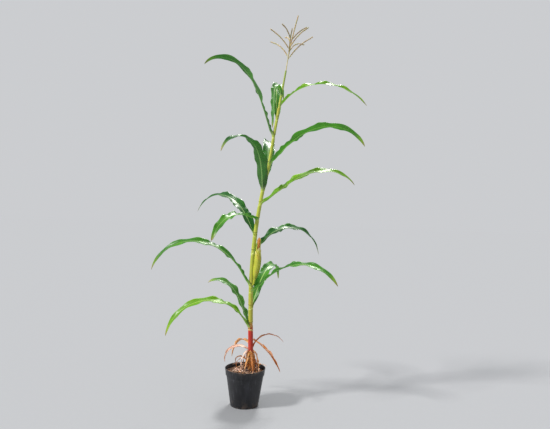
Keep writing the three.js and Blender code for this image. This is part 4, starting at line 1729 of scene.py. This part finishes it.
def on_ear(distance, turn, radius):
    """Points at a radius and an angle round the ear's axis."""
    row = np.clip(np.rint(distance), 0, len(EAR_AXIS) - 1).astype(int)
    outward = EAR_NORMALS[row] * np.cos(turn)[:, None] + EAR_BINORMALS[row] * np.sin(turn)[:, None]
    return EAR_AXIS[row] + outward * radius[:, None]


# %% Husk
class Husk(NamedTuple):
    """A husk leaf: where it faces, its start and end, its layer, half its span and its bluntness."""
    facing: float
    start: float
    end: float
    layer: float
    span: float
    bluntness: float = 3.2


HUSKS = (
    Husk(180, 60, 283, -1.2, 88, 12),
    Husk(96, 56, 279, -0.4, 62, 9),
    Husk(-98, 52, 276, -0.2, 60, 9),
    Husk(16, 46, 222, 0.3, 100),
    Husk(-150, 40, 240, 0.9, 92),
    Husk(74, 34, 210, 1.5, 100),
    Husk(-62, 28, 200, 2.1, 98),
    Husk(150, 22, 190, 2.7, 96),
)
HUSK_ROWS = 90
HUSK_COLUMNS = 24
HUSK_THICKNESS = 0.35
HUSK_RIB = 0.13
HUSK_RIBS = 9
HUSK_LINES = 30
HUSK_LINE_DEPTH = 0.0001
HUSK_HALF_POINT = 0.03
HUSK_CLOSEST = 0.4


def husk_place(husk):
    """A rule for a husk leaf: ribbed, close to the ear and narrowed to its tip."""
    def place(along, across):
        distance = mix(husk.start, husk.end, along)
        narrowed = np.power(np.maximum(1 - along ** husk.bluntness, 0), 0.75)
        reach = math.radians(husk.span) * narrowed + HUSK_HALF_POINT
        turn = EAR_FRONT + math.radians(husk.facing) + (across * 2 - 1) * reach
        ribs = HUSK_RIB * np.cos(across * HUSK_RIBS * TURN)
        ragged = np.array([wander(d / 9, a * 3, 0, husk.facing) for d, a in zip(distance, across)])
        lift = 1.4 * ease(along, 0.86, 1.0) + 0.5 * np.abs(across * 2 - 1) ** 4 + 0.5 * ragged * along
        radius = ear_radius(distance) + husk.layer * ease(along, 0, 0.14) + ribs + lift
        return on_ear(distance, turn, np.maximum(radius, HUSK_CLOSEST))

    return place


def husk_finish():
    """Streaked yellow-green husk, straw-coloured at its pointed ends."""
    material, tree = new_tree("husk_skin")
    map_at, along, across = map_place(tree, "skin")
    streaks = cloud(tree, map_at, 1.0, 5.0, (2.5, 30.0, 1.0))
    colour = blend(tree, fade(tree, streaks, 0.3, 0.7), (0.29, 0.33, 0.022), (0.60, 0.60, 0.060))
    blush = fade(tree, cloud(tree, own_place(tree), 26.0, 3.0), 0.50, 0.70, 0.0, 0.42)
    colour = blend(tree, blush, colour, (0.60, 0.36, 0.045))
    dried = fade(tree, calculate(tree, "ADD", along, times(tree, streaks, 0.2)), 0.93, 1.09)
    colour = blend(tree, times(tree, dried, 0.85), colour, (0.80, 0.68, 0.28))
    lines = stripes(tree, across, HUSK_LINES)
    gloss = fade(tree, streaks, 0.3, 0.7, 0.36, 0.55)
    finish_tree(tree, surface(tree, colour, gloss, bumps(tree, lines, HUSK_LINE_DEPTH)))
    return material


# %% [markdown]
# Under the husk leaves is the ear's body, on a short bent shank that grows out of the stalk. One
# closed rod does for both, because only the shank shows. It starts inside the stalk, swells to just
# under the husk leaves and ends below their points.

# %% Shank, core and husk leaves
CORE_END = 208
CORE_STEP = 3
CORE_SIDES = 32
CORE_INSET = 0.9
SHANK_DROP = 20
SHANK_DEPTH = 5
SHANK_STEPS = 7


def make_ear():
    """The shank, which grows out of the stalk, the closed core and the husk leaves round it."""
    material = husk_finish()
    bm = new_mesh()
    root = stalk_centre(EAR_FOOT_HEIGHT - SHANK_DROP) + heading_vector(EAR_HEADING) * SHANK_DEPTH
    bend = EAR_AXIS[0] * 0.75 + root * 0.25 - np.array((0, 0, 3.0))
    shank = evenly(smooth_curve([root, bend, EAR_AXIS[0]], 30), SHANK_STEPS)[:-1]
    line = np.vstack([shank, EAR_AXIS[:CORE_END:CORE_STEP]])
    distances = np.concatenate([np.zeros(len(shank)), np.arange(0, CORE_END, CORE_STEP)])
    add_rod(bm, line, ear_radius(distances) - CORE_INSET * ease(distances, 20, 60), CORE_SIDES)
    finish_piece(bm, "ear_core", [material], ["ear_husk"])
    bm = new_mesh()
    for husk in HUSKS:
        add_sheet(bm, HUSK_ROWS, HUSK_COLUMNS, husk_place(husk))
    thicken(finish_piece(bm, "husk_leaves", [material]), HUSK_THICKNESS)


make_ear()

# %% [markdown]
# Each thread of silk is a thin square rod, which is enough at less than a millimetre, and swirls up
# out of the ear's tip inside the husk leaves' points. Two lots of threads in an amber and an umber
# brown give the tuft its depth.

# %% Silk
SILK_THREADS = 300
SILK_ROOT = 198
SILK_CLEARANCE = 2.2
THREAD_RADIUS = 0.42
THREAD_END_SHARE = 0.6
THREAD_POINTS = 13
THREAD_SIDES = 4
SILK_TINTS = (
    ("silk_amber", (0.70, 0.250, 0.030), (0.94, 0.47, 0.080), ["ear_silk"]),
    ("silk_umber", (0.36, 0.105, 0.018), (0.68, 0.260, 0.038), []),
)


def silk_thread(draw):
    """A line of points from inside the ear's tip out through its tuft."""
    turn = draw.uniform(-math.pi, math.pi)
    rooted = draw.uniform(0, 9)
    spread = draw.uniform(5, 13)
    tallest = EAR_LENGTH + SILK_LENGTH - SILK_ROOT - 2
    end = SILK_ROOT + mix(52, tallest, draw.random()) - 10 * (rooted / 9) ** 2
    swirl = draw.uniform(-0.9, 0.9)
    phase = draw.uniform(0, TURN)
    steps = np.linspace(0, 1, THREAD_POINTS)
    distance = mix(SILK_ROOT, end, steps)
    limit = ear_radius(distance) - SILK_CLEARANCE
    radius = np.minimum(mix(rooted, spread, ease(steps, 0, 0.6)) + 1.2 * np.sin(steps * 8 + phase), limit)
    angle = turn + swirl * steps + 0.25 * np.sin(steps * 11 + phase)
    return on_ear(distance, angle, np.maximum(radius, 0.1))


def make_silk():
    """The tuft, in a light and a dark lot of threads."""
    draw = random.Random(51)
    radii = np.linspace(THREAD_RADIUS, THREAD_RADIUS * THREAD_END_SHARE, THREAD_POINTS)
    for name, dark, light, nodes in SILK_TINTS:
        bm = new_mesh()
        for _ in range(SILK_THREADS // len(SILK_TINTS)):
            add_rod(bm, silk_thread(draw), radii, THREAD_SIDES)
        finish = mottled(name, dark, light, 90.0, 3.0, 0.7, sheen=0.3)
        finish_piece(bm, name, [finish], nodes)


make_silk()

# %% [markdown]
# ## Tassel
#
# The tassel is the male flower: a central spike with slender side branches, all set with paired
# spikelets that hang out small anthers. The branches are rods along the same lines as the solid's.
# The spikelets are small pointed balls laid along them, many alike and each of few faces.

# %% Tassel lines
TASSEL_STEM_RADIUS = 3.6
TASSEL_LENGTH = 345
TASSEL_LEAN = 7
TASSEL_DROOP = 4
TASSEL_BRANCHES = 9
TASSEL_BRANCH_FOOT = 70
TASSEL_BRANCH_STEP = 15
TASSEL_BRANCH_LENGTH = 205
TASSEL_TOP_BRANCH_SHARE = 0.62
TASSEL_BRANCH_LEAN = 30
TASSEL_BRANCH_DROOPS = (16, 21, 26, 31)
TASSEL_ROW = 4


def tassel_line(start, heading, length, lean, droop):
    """A slender stem's line: it leaves at lean degrees off upright and droops along its length."""
    points = []
    for share in (0, 1 / 3, 2 / 3, 1):
        angle = math.radians(lean + droop * share)
        step = heading_vector(heading) * math.sin(angle) + np.array((0, 0, math.cos(angle)))
        points.append(start + step * length * share)
    return evenly(smooth_curve(points, 60), round(length / TASSEL_ROW))


def tassel_lines():
    """The spike's line, then each branch's."""
    dip = TASSEL_STEM_RADIUS * math.sin(math.radians(TASSEL_LEAN * 2))
    start = stalk_centre(STALK_TOP + dip)
    spike = tassel_line(start, 0, TASSEL_LENGTH, TASSEL_LEAN, TASSEL_DROOP)
    lines = [spike]
    for i in range(TASSEL_BRANCHES):
        share = (TASSEL_BRANCH_FOOT + TASSEL_BRANCH_STEP * i) / TASSEL_LENGTH
        foot = spike[round(share * (len(spike) - 1))]
        length = TASSEL_BRANCH_LENGTH * mix(1, TASSEL_TOP_BRANCH_SHARE, i / TASSEL_BRANCHES)
        droop = TASSEL_BRANCH_DROOPS[i % len(TASSEL_BRANCH_DROOPS)]
        lines.append(tassel_line(foot, GOLDEN_ANGLE * i, length, TASSEL_BRANCH_LEAN, droop))
    return lines


print("tassel lines:", len(tassel_lines()))

# %% Spikelets
SPIKELET_HALF = (1.7, 1.2, 5.2)
SPIKELET_OUT = 1.9
SPIKELET_MERIDIANS = 6
SPIKELET_RINGS = 4
ANTHER_SHARE = 0.3
ANTHER_LENGTH = 5.0
ANTHER_OUT = 1.4
ANTHER_TILT = 0.4
ANTHER_RADII = (0.35, 0.6)


def add_spikelets(lots, anthers, line, first, ranks, draw):
    """Pointed spikelets of all tints set round a line, and anthers that hang from some of them."""
    tangents, normals, binormals = frames_along(line)
    for row in range(first, len(line) - 1):
        for rank in range(ranks):
            angle = TURN * rank / ranks + row * 1.1 + draw.uniform(-0.3, 0.3)
            outward = normals[row] * math.cos(angle) + binormals[row] * math.sin(angle)
            pointing = Vector(tangents[row] * 0.93 + outward * 0.36).normalized()
            place = Vector(line[row] + outward * SPIKELET_OUT + tangents[row] * draw.uniform(0, 3))
            spin = pointing.to_track_quat("Z", "Y") @ Euler((0, 0, draw.uniform(0, TURN))).to_quaternion()
            size = Vector(SPIKELET_HALF) * draw.uniform(0.8, 1.1)
            bmesh.ops.create_uvsphere(
                draw.choice(lots), u_segments=SPIKELET_MERIDIANS, v_segments=SPIKELET_RINGS,
                radius=1, matrix=Matrix.LocRotScale(place, spin, size),
            )
            if draw.random() < ANTHER_SHARE:
                hang = place + Vector(outward) * ANTHER_OUT + Vector((0, 0, -ANTHER_LENGTH * 0.5))
                tilts = [draw.uniform(-ANTHER_TILT, ANTHER_TILT) for _ in range(2)]
                bmesh.ops.create_cone(
                    anthers, cap_ends=True, segments=5, radius1=ANTHER_RADII[0],
                    radius2=ANTHER_RADII[1], depth=ANTHER_LENGTH,
                    matrix=Matrix.LocRotScale(hang, Euler((*tilts, 0)), None),
                )


# %% Tassel pieces
class Stem(NamedTuple):
    """The spike's or a branch's radii from foot to tip, first row of spikelets, and ranks of them."""
    radii: tuple
    first: int
    ranks: int


SPIKE = Stem((2.9, 1.0), round(TASSEL_BRANCH_FOOT / TASSEL_ROW), 4)
BRANCH = Stem((1.35, 0.6), 4, 3)
STEM_SIDES = 10
SPIKELET_TINTS = (
    ("spikelets_straw", (0.40, 0.30, 0.12), (0.62, 0.50, 0.24)),
    ("spikelets_green", (0.26, 0.30, 0.09), (0.46, 0.46, 0.18)),
    ("spikelets_pink", (0.36, 0.20, 0.13), (0.60, 0.40, 0.28)),
)


def straw_finish(name, dark, light):
    """Dry spikelets, stems and anthers."""
    return mottled(name, dark, light, 120.0, 4.0, 0.6, 0.0004)


def make_tassel():
    """Rods, spikelets and anthers."""
    draw = random.Random(61)
    stems = new_mesh()
    anthers = bmesh.new()
    lots = [bmesh.new() for _ in SPIKELET_TINTS]
    for i, line in enumerate(tassel_lines()):
        stem = BRANCH if i else SPIKE
        add_rod(stems, line, np.linspace(*stem.radii, len(line)), STEM_SIDES)
        add_spikelets(lots, anthers, line, stem.first, stem.ranks, draw)
    straw = straw_finish("tassel_straw", (0.38, 0.34, 0.12), (0.60, 0.50, 0.22))
    finish_piece(stems, "tassel_stems", [straw], ["tassel"])
    for bm, (name, dark, light) in zip(lots, SPIKELET_TINTS):
        finish_piece(bm, name, [straw_finish(name, dark, light)])
    ochre = straw_finish("anther_ochre", (0.44, 0.28, 0.09), (0.66, 0.50, 0.16))
    finish_piece(anthers, "anthers", [ochre])


make_tassel()
